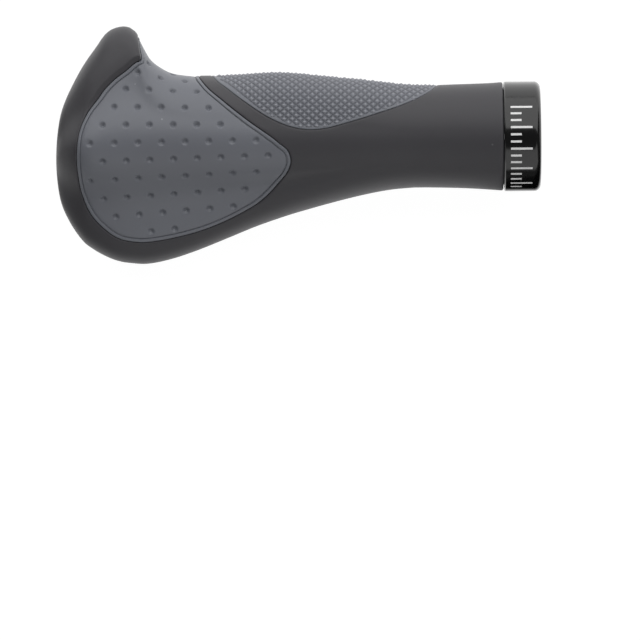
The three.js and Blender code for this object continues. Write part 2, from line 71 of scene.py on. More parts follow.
def add_node(tree, kind, inputs=None, **settings):
    """Adds a node to a tree. An input is a value, a socket, or a node whose first open output feeds it."""
    node = tree.nodes.new(kind)
    for name, value in settings.items():
        setattr(node, name, value)
    for socket, value in (inputs or {}).items():
        if isinstance(value, bpy.types.Node):
            value = next(output for output in value.outputs if output.enabled)
        if isinstance(value, bpy.types.NodeSocket):
            tree.links.new(value, node.inputs[socket])
        else:
            node.inputs[socket].default_value = value
    return node


def new_material(name):
    material = bpy.data.materials.new(name)
    material.use_nodes = True
    material.node_tree.nodes.clear()
    return material, material.node_tree


# Nylon: injection moulded, so a faint satin skin with a very fine texture from the mould, which is drawn
# at 0.4 mm, coarser than it is
NYLON_GRAIN = 0.4
nylon, tree = new_material("moulded_nylon")
place = add_node(tree, "ShaderNodeTexCoord").outputs["Object"]
texture = add_node(
    tree, "ShaderNodeTexNoise", {"Vector": place, "Scale": 1 / (NYLON_GRAIN * MM), "Detail": 3}
)
relief = add_node(tree, "ShaderNodeBump", {"Height": texture, "Strength": 0.15, "Distance": 0.05 * MM})
tint = add_node(
    tree,
    "ShaderNodeMix",
    {"Factor": texture, "A": linear("#1c1c1d"), "B": linear("#252526")},
    data_type="RGBA",
)
skin = add_node(
    tree, "ShaderNodeBsdfPrincipled", {"Base Color": tint, "Roughness": 0.45, "IOR": 1.53, "Normal": relief}
)
add_node(tree, "ShaderNodeOutputMaterial", {"Surface": skin})
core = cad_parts["core_sleeve"]
core.data.materials.clear()
core.data.materials.append(nylon)

# Rubber body
# Soft black rubber moulded round the core: a tube with a palm wing behind it and a horn in front of
# its closed outboard end. Two shallow beds in it hold the grey pads.
CORE_SEAT_RADIUS = 12.8
CORE_DEPTH = 121.2
RING_WIDTH = 10.2
RING_GAP = 0.3
RUBBER_LENGTH = 124.43
NECK_RADIUS = 13.88
MOUTH_FLARE = 1.05
GRIP_SWELL = 1.8
FINGER_SWELL = 3.0
HORN_REACH = 13.9
WING_REACH = 18.98
WING_DROP = 5.0
WING_EDGE_RADIUS = 7.0
WING_SETBACK = 0.15
FRONT_FULLNESS = 0.25
REAR_FULLNESS = 0.15
FRONT_SWELL_SHARE = 0.7
REAR_SWELL_SHARE = 0.9
FRONT_SLOPE = 0.05
HORN_SLOPE = 0.3
HORN_LIFT = 1.0
PALM_DISH = 1.6
UNDERSIDE_DISH = 0.8
HORN_DISH = 0.8
RUBBER_START = -(RING_WIDTH + RING_GAP)


def through(knots):
    """A smooth curve through (share, value) knots, as a function of the share."""
    places, values = np.array(knots, float).T
    last = len(places) - 1
    after = np.minimum(np.arange(last + 1) + 1, last)
    before = np.maximum(np.arange(last + 1) - 1, 0)
    slopes = (values[after] - values[before]) / (places[after] - places[before])

    def curve(share):
        share = np.clip(share, places[0], places[-1])
        i = np.clip(np.searchsorted(places, share, side="right") - 1, 0, last - 1)
        span = places[i + 1] - places[i]
        t = (share - places[i]) / span
        start = values[i] * (1 + 2 * t) * (1 - t) ** 2 + slopes[i] * span * t * (1 - t) ** 2
        return start + values[i + 1] * t * t * (3 - 2 * t) - slopes[i + 1] * span * t * t * (1 - t)

    return curve


# Shapes along the rubber, from share 0 at the ring to 1 at the outboard tip
mouth = through([(0, 1), (0.04, 0.62), (0.08, 0.33), (0.12, 0.14), (0.17, 0)])
swell = through([(0.2, 0), (0.35, 0.45), (0.5, 0.9), (0.65, 1)])
fingers = through(
    [(0.02, 0), (0.1, 0.1), (0.18, 0.1), (0.25, 0.26), (0.3, 0.47), (0.4, 0.76), (0.46, 0.94), (0.51, 1)]
    + [(0.6, 0.78), (0.68, 0.76), (0.8, 0.76)]
)
horn = through(
    [(0.69, 0), (0.735, 0.06), (0.76, 0.16), (0.7855, 0.34), (0.7995, 0.555), (0.8085, 0.715)]
    + [(0.8175, 0.865), (0.8265, 0.945), (0.8355, 0.985), (0.845, 1)]
)
wing = through(
    [(0.2, 0), (0.25, 0.015), (0.3, 0.058), (0.36, 0.132), (0.42, 0.218), (0.48, 0.314), (0.55, 0.459)]
    + [(0.62, 0.64), (0.69, 0.818), (0.746, 0.935), (0.8, 1), (0.845, 0.98)]
)
slimming = through([(0.2, 0), (0.3, 0.07), (0.4, 0.25), (0.5, 0.49), (0.6, 0.72), (0.7, 0.89), (0.8, 1)])
leaning = through([(0.2, 0), (0.45, 0.45), (0.75, 1)])
front_closing = through(
    [(0, 1), (0.055, 0.996), (0.175, 0.96), (0.283, 0.88), (0.403, 0.724), (0.575, 0.53), (0.748, 0.327)]
    + [(0.872, 0.19), (0.938, 0.108), (1, 0)]
)
rear_closing = through(
    [(0, 1), (0.09, 0.975), (0.2, 0.93), (0.37, 0.827), (0.5, 0.73), (0.6, 0.645), (0.72, 0.492)]
    + [(0.83, 0.332), (0.94, 0.155), (1, 0)]
)
END_START = 0.845
CROWN_START = 0.905
CROWN_POWER = 2.4
TIP_SHIFT = -6.0
TIP_WALK = 16.0
WALK_STEP = 0.4
QUARTER_STEPS = 64


def quarter(hub_radius, lobe_radius, lobe_y, lobe_z, dish):
    """One quarter of a section, from the crown round the lobe, as evenly spaced [y, z] points."""
    turn = np.linspace(0, 1, QUARTER_STEPS)[:, None]
    lean = math.atan2(lobe_z, lobe_y) + math.acos((hub_radius - lobe_radius) / math.hypot(lobe_y, lobe_z))
    facing = np.array([math.cos(lean), math.sin(lean)])

    def arc(centre, radius, start, end):
        angle = start + (end - start) * turn
        return centre + radius * np.concatenate([np.cos(angle), np.sin(angle)], axis=1)

    lobe = np.array([lobe_y, lobe_z])
    flank = facing * hub_radius * (1 - turn) + (lobe + facing * lobe_radius) * turn
    flank = flank - facing * dish * np.sin(math.pi * turn) ** 2
    rounded = [arc(np.zeros(2), hub_radius, math.pi / 2, lean), flank[1:-1], arc(lobe, lobe_radius, lean, 0)]
    points = np.concatenate(rounded)
    walked = np.concatenate([[0], np.cumsum(np.hypot(*np.diff(points, axis=0).T))])
    even = np.linspace(0, walked[-1], QUARTER_STEPS + 1)
    return np.stack([np.interp(even, walked, points[:, k]) for k in (0, 1)], axis=1)


def section(share):
    """The closed section at a share of the length, from the front edge over the crown and back."""
    b = min(share, END_START)
    hub_radius = NECK_RADIUS + MOUTH_FLARE * mouth(b) + GRIP_SWELL * swell(b)
    thinning = NECK_RADIUS + GRIP_SWELL - WING_EDGE_RADIUS - WING_SETBACK
    wing_radius = hub_radius - WING_SETBACK - thinning * slimming(b)
    plain = NECK_RADIUS + MOUTH_FLARE * mouth(b)
    front = plain + FRONT_FULLNESS + FINGER_SWELL * fingers(b) + HORN_REACH * horn(b)
    front += FRONT_SWELL_SHARE * GRIP_SWELL * swell(b)
    rear = plain + REAR_FULLNESS + WING_REACH * wing(b) + REAR_SWELL_SHARE * GRIP_SWELL * swell(b)
    slope = FRONT_SLOPE + (HORN_SLOPE - FRONT_SLOPE) * leaning(b)
    horn_radius = (hub_radius - slope * front) / (1 - slope)
    drop = WING_DROP * slimming(b)
    lift = HORN_LIFT * horn(b)
    horn_lobe = (hub_radius, horn_radius, front - horn_radius)
    wing_lobe = (hub_radius, wing_radius, rear - wing_radius)
    parts = [
        (quarter(*horn_lobe, lift, HORN_DISH * horn(b))[::-1], 1, 1),
        (quarter(*wing_lobe, -drop, PALM_DISH * slimming(b)), -1, 1),
        (quarter(*wing_lobe, drop, UNDERSIDE_DISH * slimming(b))[::-1], -1, -1),
        (quarter(*horn_lobe, -lift, HORN_DISH * horn(b)), 1, -1),
    ]
    loop = np.concatenate([points[:-1] * (side, up) for points, side, up in parts])
    end = np.clip((share - END_START) / (1 - END_START), 0, 1)
    crown_end = np.clip((share - CROWN_START) / (1 - CROWN_START), 0, 1)
    across = loop[:, 0] - TIP_SHIFT
    kept = np.where(across > 0, math.sqrt(front_closing(end)), math.sqrt(rear_closing(end)))
    height = math.sqrt(max(1 - crown_end**CROWN_POWER, 0))
    return np.stack([TIP_SHIFT + across * kept, loop[:, 1] * height], axis=1)


# The skin is walked along the bar in millimetres, and round it in quarters: 0 is the front edge, 1 the
# crown, 2 the rear edge, and -1 the keel. Past the crown's start the walk turns in over the tip.
tip_start = CROWN_START * RUBBER_LENGTH
walk_end = tip_start + TIP_WALK


def share_at(walk):
    turned = np.sin(math.pi / 2 * np.clip((walk - tip_start) / TIP_WALK, 0, 1))
    return np.where(walk < tip_start, walk / RUBBER_LENGTH, CROWN_START + (1 - CROWN_START) * turned)


walks = np.linspace(0, walk_end, round(walk_end / WALK_STEP) + 1)
skin_table = np.array(
    [
        np.column_stack([np.full(4 * QUARTER_STEPS, RUBBER_START - RUBBER_LENGTH * share), section(share)])
        for share in share_at(walks)
    ]
)
along_skin = np.gradient(skin_table, axis=0)
round_skin = (np.roll(skin_table, -1, axis=1) - np.roll(skin_table, 1, axis=1)) / 2
normal_table = np.cross(along_skin, round_skin)
normal_table[-1] = (-1, 0, 0)
normal_table /= np.linalg.norm(normal_table, axis=2, keepdims=True) + 1e-12


def read_table(values, spots):
    """Values of a skin table at (walk, quarter) spots, interpolated."""
    row = np.clip(spots[:, 0] / walks[1], 0, len(walks) - 1.0001)
    column = spots[:, 1] * QUARTER_STEPS
    i, j = np.floor(row).astype(int), np.floor(column).astype(int)
    s, t = (row - i)[:, None], (column - j)[:, None]
    count = 4 * QUARTER_STEPS
    near = values[i, j % count] * (1 - t) + values[i, (j + 1) % count] * t
    far = values[i + 1, j % count] * (1 - t) + values[i + 1, (j + 1) % count] * t
    return near * (1 - s) + far * s


def on_skin(spots, height=0.0):
    """Points in millimetres at (walk, quarter) spots, raised off the skin by a height."""
    spots = np.asarray(spots, float)
    return read_table(skin_table, spots) + read_table(normal_table, spots) * np.reshape(height, (-1, 1))


def spot_above(share, ahead):
    """The spot on the upper skin that lies a distance ahead of the bar's axis."""
    walk = share * RUBBER_LENGTH
    quarters = np.linspace(0, 2, 4 * QUARTER_STEPS)
    line = on_skin(np.column_stack([np.full(len(quarters), walk), quarters]))
    return (walk, float(np.interp(ahead, line[::-1, 1], quarters[::-1])))


def spot_in_front(share, height):
    """The spot on the front of the grip at a height."""
    walk = share * RUBBER_LENGTH
    quarters = np.linspace(-1, 1, 4 * QUARTER_STEPS)
    line = on_skin(np.column_stack([np.full(len(quarters), walk), quarters]))
    return (walk, float(np.interp(height, line[:, 2], quarters)))


# A quarter counts as this many millimetres where spots are meshed
QUARTER_SPAN = 30.0
OUTLINE_STEP = 0.45
STEPS_BETWEEN = 24


def smooth_loop(spots):
    """A closed smooth loop through spots on the skin, with even steps along it."""
    knots = np.asarray(spots, float)
    points = on_skin(knots)
    gaps = np.linalg.norm(np.roll(points, -1, axis=0) - points, axis=1)[:, None]
    slopes = (np.roll(knots, -1, axis=0) - knots) / gaps
    gaps_before, slopes_before = np.roll(gaps, 1, axis=0), np.roll(slopes, 1, axis=0)
    tangents = (slopes * gaps_before + slopes_before * gaps) / (gaps + gaps_before)
    t = np.linspace(0, 1, STEPS_BETWEEN, endpoint=False)[None, :, None]
    k0, k1, gap = knots[:, None], np.roll(knots, -1, axis=0)[:, None], gaps[:, None]
    m0, m1 = tangents[:, None] * gap, np.roll(tangents, -1, axis=0)[:, None] * gap
    curve = k0 * (1 + 2 * t) * (1 - t) ** 2 + m0 * t * (1 - t) ** 2
    curve = curve + k1 * t * t * (3 - 2 * t) - m1 * t * t * (1 - t)
    closed = np.concatenate([curve.reshape(-1, 2), knots[:1]])
    walked = np.concatenate([[0], np.cumsum(np.linalg.norm(np.diff(on_skin(closed), axis=0), axis=1))])
    count = round(walked[-1] / OUTLINE_STEP)
    even = np.arange(count) * walked[-1] / count
    return np.stack([np.interp(even, walked, closed[:, k]) for k in (0, 1)], axis=1)


def moved_out(loop, distance):
    """The loop moved over the skin by a distance, outwards if it is positive."""
    points, normals = on_skin(loop), read_table(normal_table, loop)
    run = np.roll(points, -1, axis=0) - np.roll(points, 1, axis=0)
    outward = np.cross(normals, run)
    outward /= np.linalg.norm(outward, axis=1, keepdims=True)
    nudge = 0.05
    by_walk = (on_skin(loop + (nudge, 0)) - points) / nudge
    by_quarter = (on_skin(loop + (0, nudge / QUARTER_SPAN)) - points) / (nudge / QUARTER_SPAN)
    gram = np.stack([[(a * b).sum(1) for b in (by_walk, by_quarter)] for a in (by_walk, by_quarter)])
    aim = np.stack([(outward * a).sum(1) for a in (by_walk, by_quarter)])
    step = np.linalg.solve(gram.transpose(2, 0, 1), aim.T[:, :, None])[:, :, 0]
    flat = loop * (1, QUARTER_SPAN)
    ahead, behind = np.roll(flat, -1, axis=0), np.roll(flat, 1, axis=0)
    turning = np.sum(flat[:, 0] * ahead[:, 1] - flat[:, 1] * ahead[:, 0])
    across = (ahead - behind)[:, ::-1] * (1, -1) * np.sign(turning)
    side = np.sign(np.sum(step * (1, QUARTER_SPAN) * across, axis=1, keepdims=True))
    return loop + step * distance * side


def inside(loop, spots):
    """Whether each spot lies inside a loop."""
    a, b = loop, np.roll(loop, -1, axis=0)
    hits = np.zeros(len(spots), bool)
    for (x1, y1), (x2, y2) in zip(a, b):
        crossing = (y1 > spots[:, 1]) != (y2 > spots[:, 1])
        if crossing.any():
            reach = x1 + (x2 - x1) * (spots[:, 1] - y1) / (y2 - y1 if y2 != y1 else 1)
            hits ^= crossing & (spots[:, 0] < reach)
    return hits


def edge_distance(loop, spots):
    """Distance over the skin from each spot to a loop, negative inside it."""
    edge, points = on_skin(loop), on_skin(spots)
    nearest = np.full(len(points), np.inf)
    for start in range(0, len(edge), 32):
        gaps = np.linalg.norm(points[:, None, :] - edge[None, start : start + 32, :], axis=2)
        nearest = np.minimum(nearest, gaps.min(axis=1))
    return np.where(inside(loop, spots), -nearest, nearest)


def smooth_step(values, start, end):
    """Rises smoothly from 0 at the start to 1 at the end."""
    t = np.clip((values - start) / (end - start), 0, 1)
    return t * t * (3 - 2 * t)


def triangles(spots, loops, filled):
    """Triangles over spots, with the loops' edges kept. Loops are lists of spot numbers."""
    edges = [(loop[i], loop[(i + 1) % len(loop)]) for loop in loops for i in range(len(loop))]
    flat = [Vector(spot) for spot in spots * (1, QUARTER_SPAN)]
    where, _, faces, origins, _, _ = geometry.delaunay_2d_cdt(flat, edges, [], 1 if filled else 0, 1e-7)
    kept = np.array([tuple(v) for v in where]) / (1, QUARTER_SPAN)
    return kept, faces, origins


def soften_edges(piece, sharp_angle):
    """Smooth faces that point outwards, with the edges past an angle sharp."""
    shape = bmesh.new()
    shape.from_mesh(piece.data)
    bmesh.ops.recalc_face_normals(shape, faces=shape.faces)
    for face in shape.faces:
        face.smooth = True
    for edge in shape.edges:
        edge.smooth = edge.calc_face_angle(0) < math.radians(sharp_angle)
    shape.to_mesh(piece.data)
    shape.free()


def new_piece(name, points, faces, material, sharp_angle=40):
    """A shown mesh object from points in millimetres, with its doubles merged."""
    mesh = bpy.data.meshes.new(name)
    places = [tuple(point) for point in np.asarray(points) * MM]
    mesh.from_pydata(places, [], [tuple(face) for face in faces])
    piece = bpy.data.objects.new(name, mesh)
    scene.collection.objects.link(piece)
    shape = bmesh.new()
    shape.from_mesh(mesh)
    bmesh.ops.remove_doubles(shape, verts=shape.verts, dist=0.0005 * MM)
    bmesh.ops.dissolve_degenerate(shape, edges=shape.edges, dist=0.0002 * MM)
    shape.to_mesh(mesh)
    shape.free()
    soften_edges(piece, sharp_angle)
    mesh.materials.append(material)
    return piece


# Outlines of the two pads: shares of the rubber's length against the distance ahead of the axis where
# they can be seen from above, and against the height in front of the bar
PALM_ABOVE = [
    (0.676, 17.0), (0.658, 14.1), (0.624, 10.4), (0.57, 4.9), (0.53, 1.3), (0.5, -1.6),
    (0.48, -3.8), (0.4735, -6.6), (0.482, -9.8), (0.508, -13.6), (0.548, -18.2), (0.588, -21.1),
    (0.634, -23.8), (0.68, -25.9), (0.73, -27.5), (0.78, -28.6), (0.822, -28.8), (0.86, -27.8),
    (0.89, -25.4), (0.917, -21.7), (0.936, -16.4), (0.946, -10), (0.948, -4), (0.941, 2.3),
    (0.925, 7.2), (0.9, 11.9), (0.867, 16.5), (0.832, 19.9), (0.8065, 22.1), (0.8085, 24.8),
]
PALM_IN_FRONT = [
    (0.8135, 1.5), (0.8125, -3.6), (0.803, -6.4), (0.782, -8.3), (0.748, -9), (0.711, -7.9),
    (0.69, -5.5), (0.678, -1.5),
]
FINGER_ABOVE = [
    (0.649, 17.6), (0.637, 16.0), (0.61, 13.3), (0.562, 8.7), (0.51, 4.65), (0.46, 2.45),
    (0.428, 2), (0.397, 2.35), (0.35, 3.8), (0.282, 6.4), (0.215, 9.35), (0.18, 11.4), (0.157, 13.2),
]
FINGER_ENDS = (0.146, 0.6505)
palm_edge = smooth_loop([spot_above(*p) for p in PALM_ABOVE] + [spot_in_front(*p) for p in PALM_IN_FRONT])
finger_above = [spot_above(*p) for p in FINGER_ABOVE]
finger_below = [(walk, -quarter_share) for walk, quarter_share in finger_above[::-1]]
inboard_end, outboard_end = [(share * RUBBER_LENGTH, 0) for share in FINGER_ENDS]
finger_edge = smooth_loop([*finger_above, inboard_end, *finger_below, outboard_end])

# Depth of a bed's lip and floor against the distance outside the pad's edge
LIP = [(-0.9, -1.9), (-0.03, -1.9), (0, -0.3), (0.05, -0.15), (0.15, -0.045), (0.3, 0), (0.8, 0)]
CLEAR_BAND = 1.0
CLEAR_PAST_LIP = 0.3
# Beside the horn the rubber stands above the pad, on a short slope that fades out along the edge
HORN_LIP_RISE = 0.75
HORN_LIP_SLOPE = (0.05, 1.3)
HORN_LIP_FADE = (2.5, 8.0)
HORN_LIP_MIDDLE = (0.858, 17.5)
HORN_LIP_REACH = 17.0
HORN_LIP_FULL_REACH = 5.95
HORN_LIP_STEPS = [1.05, 1.3, 1.6, 2.0]
END_ROUNDING = 0.5
MOUTH_LIP_RADIUS = 13.5
MOUTH_LIP_HEIGHT = 0.25
MOUTH_LIP_DRAFT = 0.1
COLUMNS = 4 * 40
ROW_STEP = 1.0
ROUNDING_ROWS = 5
TIP_ROWS = 24
rounding_rows = END_ROUNDING * (1 - np.cos(np.linspace(0, math.pi / 2, ROUNDING_ROWS)))
plain_rows = np.arange(END_ROUNDING, tip_start, ROW_STEP)
row_walks = np.concatenate([rounding_rows[:-1], plain_rows, np.linspace(tip_start, walk_end, TIP_ROWS)])
columns = np.linspace(-2, 2, COLUMNS + 1)
grid = np.array([(walk, column) for walk in row_walks for column in columns])
to_palm, to_finger = edge_distance(palm_edge, grid), edge_distance(finger_edge, grid)
clear_of_palm = (to_palm < -CLEAR_BAND) | (to_palm > HORN_LIP_STEPS[-1] + CLEAR_PAST_LIP)
grid = grid[clear_of_palm & (abs(to_finger) > CLEAR_BAND)]
spots, loops = [grid], []
lip_distance, lip_depth = np.array(LIP).T
for edge, distances in ((palm_edge, [*lip_distance, *HORN_LIP_STEPS]), (finger_edge, lip_distance)):
    for distance in distances:
        first = sum(len(part) for part in spots)
        spots.append(moved_out(edge, distance))
        loops.append(list(range(first, first + len(edge))))
spots = np.concatenate(spots)
spots, body_faces, _ = triangles(spots, loops, filled=False)
to_palm, to_finger = edge_distance(palm_edge, spots), edge_distance(finger_edge, spots)
depth = np.interp(np.minimum(to_palm, to_finger), lip_distance, lip_depth)
from_middle = np.linalg.norm(on_skin(spots) - on_skin([spot_above(*HORN_LIP_MIDDLE)]), axis=1)
near_horn = smooth_step(from_middle, HORN_LIP_REACH, HORN_LIP_FULL_REACH)
rising = smooth_step(to_palm, *HORN_LIP_SLOPE) * smooth_step(to_palm, *HORN_LIP_FADE[::-1])
depth += HORN_LIP_RISE * near_horn * rising
rounding = np.clip(END_ROUNDING - spots[:, 0], 0, END_ROUNDING)
depth -= END_ROUNDING - np.sqrt(END_ROUNDING**2 - rounding**2)
body_points = on_skin(spots, depth)

# The mouth's end face with its sealing lip, the bore and the bore's end close the body
rim_rows = [on_skin(np.column_stack([np.zeros(COLUMNS), columns[:-1]]), -END_ROUNDING)]
rim_angles = np.arctan2(rim_rows[0][:, 2], rim_rows[0][:, 1])
for x, radius in [
    (RUBBER_START, MOUTH_LIP_RADIUS),
    (RUBBER_START + MOUTH_LIP_HEIGHT, MOUTH_LIP_RADIUS - MOUTH_LIP_DRAFT),
    (RUBBER_START + MOUTH_LIP_HEIGHT, CORE_SEAT_RADIUS),
    (-CORE_DEPTH, CORE_SEAT_RADIUS),
]:
    ring = radius * np.column_stack([np.cos(rim_angles), np.sin(rim_angles)])
    rim_rows.append(np.column_stack([np.full(COLUMNS, x), ring]))
first = len(body_points)
inner_points = np.concatenate([*rim_rows, [[-CORE_DEPTH, 0, 0]]])
bore_end = first + len(rim_rows) * COLUMNS
inner_faces = []
for row in range(len(rim_rows)):
    for j in range(COLUMNS):
        a, b = first + row * COLUMNS + j, first + row * COLUMNS + (j + 1) % COLUMNS
        is_last = row == len(rim_rows) - 1
        inner_faces.append((a, b, bore_end) if is_last else (a, b, b + COLUMNS, a + COLUMNS))


SPECK_CORE = 0.02
SPECK_RIM = 0.05


def etched_rubber(name, colours, dust_colour, sizes, dust_share, etching, finish):
    """Moulded rubber with a fine etched grain, clouds between two colours, and rare pale specks of dust.
    The sizes in millimetres are the grain's, the clouds' and the spacing of the specks, whose core and
    rim are shares of that spacing."""
    material, tree = new_material(name)
    grain_scale, cloud_scale, dust_scale = [1 / (size * MM) for size in sizes]
    place = add_node(tree, "ShaderNodeTexCoord").outputs["Object"]
    grain = add_node(tree, "ShaderNodeTexNoise", {"Vector": place, "Scale": grain_scale, "Detail": 4})
    cloud = add_node(tree, "ShaderNodeTexNoise", {"Vector": place, "Scale": cloud_scale, "Detail": 2})
    dust = add_node(tree, "ShaderNodeTexVoronoi", {"Vector": place, "Scale": dust_scale})
    speck = {"From Min": SPECK_CORE, "From Max": SPECK_RIM, "To Min": dust_share, "To Max": 0}
    specks = add_node(tree, "ShaderNodeMapRange", {"Value": dust, **speck})
    dark, light = [linear(colour) for colour in colours]
    shade = add_node(tree, "ShaderNodeMix", {"Factor": cloud, "A": dark, "B": light}, data_type="RGBA")
    dusting = {"Factor": specks, "A": shade, "B": linear(dust_colour)}
    dusty = add_node(tree, "ShaderNodeMix", dusting, data_type="RGBA")
    relief = add_node(tree, "ShaderNodeBump", {"Height": grain, "Strength": etching, "Distance": 0.05 * MM})
    skin = add_node(tree, "ShaderNodeBsdfPrincipled", {"Base Color": dusty, "Normal": relief, **finish})
    add_node(tree, "ShaderNodeOutputMaterial", {"Surface": skin})
    return material


# Thermoplastic rubber: matt, moulded against a finely etched tool. The real grain is a few hundredths of
# a millimetre and only dulls the shine, so it is drawn several times as coarse to show at all.
black_rubber = etched_rubber(
    "etched_black_rubber",
    ("#333236", "#39383c"),
    "#77777a",
    (0.286, 16.7, 7.7),
    0.5,
    0.35,
    {"Roughness": 0.55, "IOR": 1.5, "Sheen Weight": 0.1, "Sheen Roughness": 0.5},
)
all_points, all_faces = np.concatenate([body_points, inner_points]), [*body_faces, *inner_faces]
body = new_piece("rubber_body_skin", all_points, all_faces, black_rubber)
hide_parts("rubber_body")
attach(body, "root")

# Palm pad
# Softer grey rubber moulded into the bed on the wing, in the same mould as the body. It has a raised
# rim with a fine groove inside it, and round dents in staggered rows.
PAD_GRID = 0.7
SUNK_BAND = 0.3
SUNK_FLOOR = -1.0
# The pad's height on the skin against the distance outside its edge
PALM_PROFILE = [
    (-1.6, -0.25), (-1.38, -0.3), (-1.28, -0.52), (-1.12, -0.52), (-1.02, -0.16), (-0.88, -0.08),
    (-0.4, -0.08), (-0.25, -0.12), (-0.16, -0.22), (-0.12, -0.4), (-0.12, -1.7),
]


def let_in_pad(name, edge, profile, spacing, detail, sink, material):
    """A closed pad inside an edge on the skin. Its face follows the profile and has the spots of a detail,
    and the upper part of its side is sunk by a depth at each edge spot."""
    low, high = edge.min(axis=0), edge.max(axis=0)
    across = np.arange(low[0], high[0], spacing)
    around = np.arange(low[1], high[1], spacing / QUARTER_SPAN)
    plain = np.array([(walk, quarter_share) for walk in across for quarter_share in around])
    plain = plain[inside(edge, plain)]
    room = 0.6 * spacing
    plain = plain[edge_distance(edge, plain) < profile[0][0] - room]
    inner = plain
    if len(detail):
        gaps = np.linalg.norm(on_skin(plain)[:, None] - on_skin(detail)[None, :], axis=2).min(axis=1)
        inner = np.concatenate([plain[gaps > room], detail])
    rings = [moved_out(edge, distance) for distance, _ in profile]
    count = len(edge)

    def cap(spots, ring, height):
        border = list(range(len(spots), len(spots) + count))
        kept, faces, _ = triangles(np.concatenate([spots, ring]), [border], filled=True)
        return on_skin(kept, height), [tuple(face) for face in faces]

    face_points, faces = cap(inner, rings[0], profile[0][1])
    points, total = [face_points], len(face_points)
    for row, (ring, (distance, height)) in enumerate(zip(rings, profile)):
        points.append(on_skin(ring, height - sink * (distance > -SUNK_BAND and height > SUNK_FLOOR)))
        for j in range(count if row else 0):
            a, b = total + row * count + j, total + row * count + (j + 1) % count
            faces.append((a - count, b - count, b, a))
    total += len(rings) * count
    floor_points, floor_faces = cap(plain[::4], rings[-1], profile[-1][1])
    points.append(floor_points)
    faces += [tuple(total + k for k in reversed(face)) for face in floor_faces]
    return new_piece(name, np.concatenate(points), faces, material)


# Places of the dents, on staggered rows over the pad. Past the last level row they follow its fall.
DENT_PITCH_X = 6.55
DENT_PITCH_Y = 4.8
DENT_TILT = 0.0125
DENT_FAN = 0.0165
DENT_BORDER = 2.4
DENT_ROWS = (-6, 6)
DENT_COLUMNS = (-1, 10)
FIRST_DENT = (0.92, -1.05)
MIDDLE_DENT = 0.73
LAST_DENT_SHARE = 0.96
LAST_LEVEL_ROW = 3
dent_spots = []
for row in range(*DENT_ROWS):
    level = min(row, LAST_LEVEL_ROW)
    for column in range(*DENT_COLUMNS):
        share = FIRST_DENT[0] - (column + 0.5 * (row % 2)) * DENT_PITCH_X / RUBBER_LENGTH
        from_middle = (MIDDLE_DENT - share) * RUBBER_LENGTH
        ahead = FIRST_DENT[1] + level * DENT_PITCH_Y + from_middle * (DENT_TILT - DENT_FAN * level)
        walk, start = spot_above(min(share, LAST_DENT_SHARE), ahead)
        quarters = np.linspace(start, -1, 400)
        line = on_skin(np.column_stack([np.full(len(quarters), walk), quarters]))
        walked = np.concatenate([[0], np.cumsum(np.linalg.norm(np.diff(line, axis=0), axis=1))])
        past_level = max(row - LAST_LEVEL_ROW, 0) * DENT_PITCH_Y
        dent_spots.append((walk, float(np.interp(past_level, walked, quarters))))
dent_spots = np.array(dent_spots)
dent_spots = dent_spots[edge_distance(palm_edge, dent_spots) < -DENT_BORDER]

# Spots of finer mesh round each dent
DENT_RADIUS = 1.2
DENT_DEPTH = 0.75
DENT_RINGS = np.linspace(0.15, 1.15, 8)
RING_SPOTS = 20
NUDGE = 0.01
dent_detail = [dent_spots]
by_walk = np.linalg.norm(on_skin(dent_spots + (NUDGE, 0)) - on_skin(dent_spots), axis=1) / NUDGE
by_quarter = np.linalg.norm(on_skin(dent_spots + (0, NUDGE)) - on_skin(dent_spots), axis=1) / NUDGE
for radius in DENT_RINGS * DENT_RADIUS:
    for angle in np.linspace(0, 2 * math.pi, RING_SPOTS, endpoint=False):
        steps = np.column_stack([math.cos(angle) / by_walk, math.sin(angle) / by_quarter])
        dent_detail.append(dent_spots + radius * steps)
dent_detail = np.concatenate(dent_detail)

# The same kind of rubber, tinted with a grey that leans to blue. Its tool was etched less, so it has a
# faint satin shine. The grain is drawn coarse here too.
grey_rubber = etched_rubber(
    "etched_grey_rubber",
    ("#66686f", "#6e7178"),
    "#b4b4b6",
    (0.333, 22.2, 6.67),
    0.4,
    0.3,
    {"Roughness": 0.46, "IOR": 1.5},
)

# Along the horn's flank the pad's border stands off below the rubber, which leaves a dark gap
HORN_GAP_DEPTH = 1.2
HORN_GAP_SHARES = (0.812, 0.822)
HORN_GAP_AHEAD = (20.5, 23.0)
edge_shares = palm_edge[:, 0] / RUBBER_LENGTH
border_sink = HORN_GAP_DEPTH * smooth_step(on_skin(palm_edge)[:, 1], *HORN_GAP_AHEAD)
border_sink *= 1 - smooth_step(edge_shares, *HORN_GAP_SHARES)
palm = let_in_pad("palm_pad_skin", palm_edge, PALM_PROFILE, PAD_GRID, dent_detail, border_sink, grey_rubber)

dents = bpy.data.objects.new("dent_places", bpy.data.meshes.new("dent_places"))
dents.data.from_pydata([tuple(p) for p in on_skin(dent_spots, PALM_PROFILE[0][1]) * MM], [], [])
scene.collection.objects.link(dents)


def new_tree(name, inputs, output):
    """An empty tree of geometry nodes with named inputs of given kinds, and one output."""
    tree = bpy.data.node_groups.new(name, "GeometryNodeTree")
    for label, kind in inputs.items():
        tree.interface.new_socket(label, in_out="INPUT", socket_type=f"NodeSocket{kind}")
    tree.interface.new_socket(output, in_out="OUTPUT", socket_type="NodeSocketGeometry")
    return tree


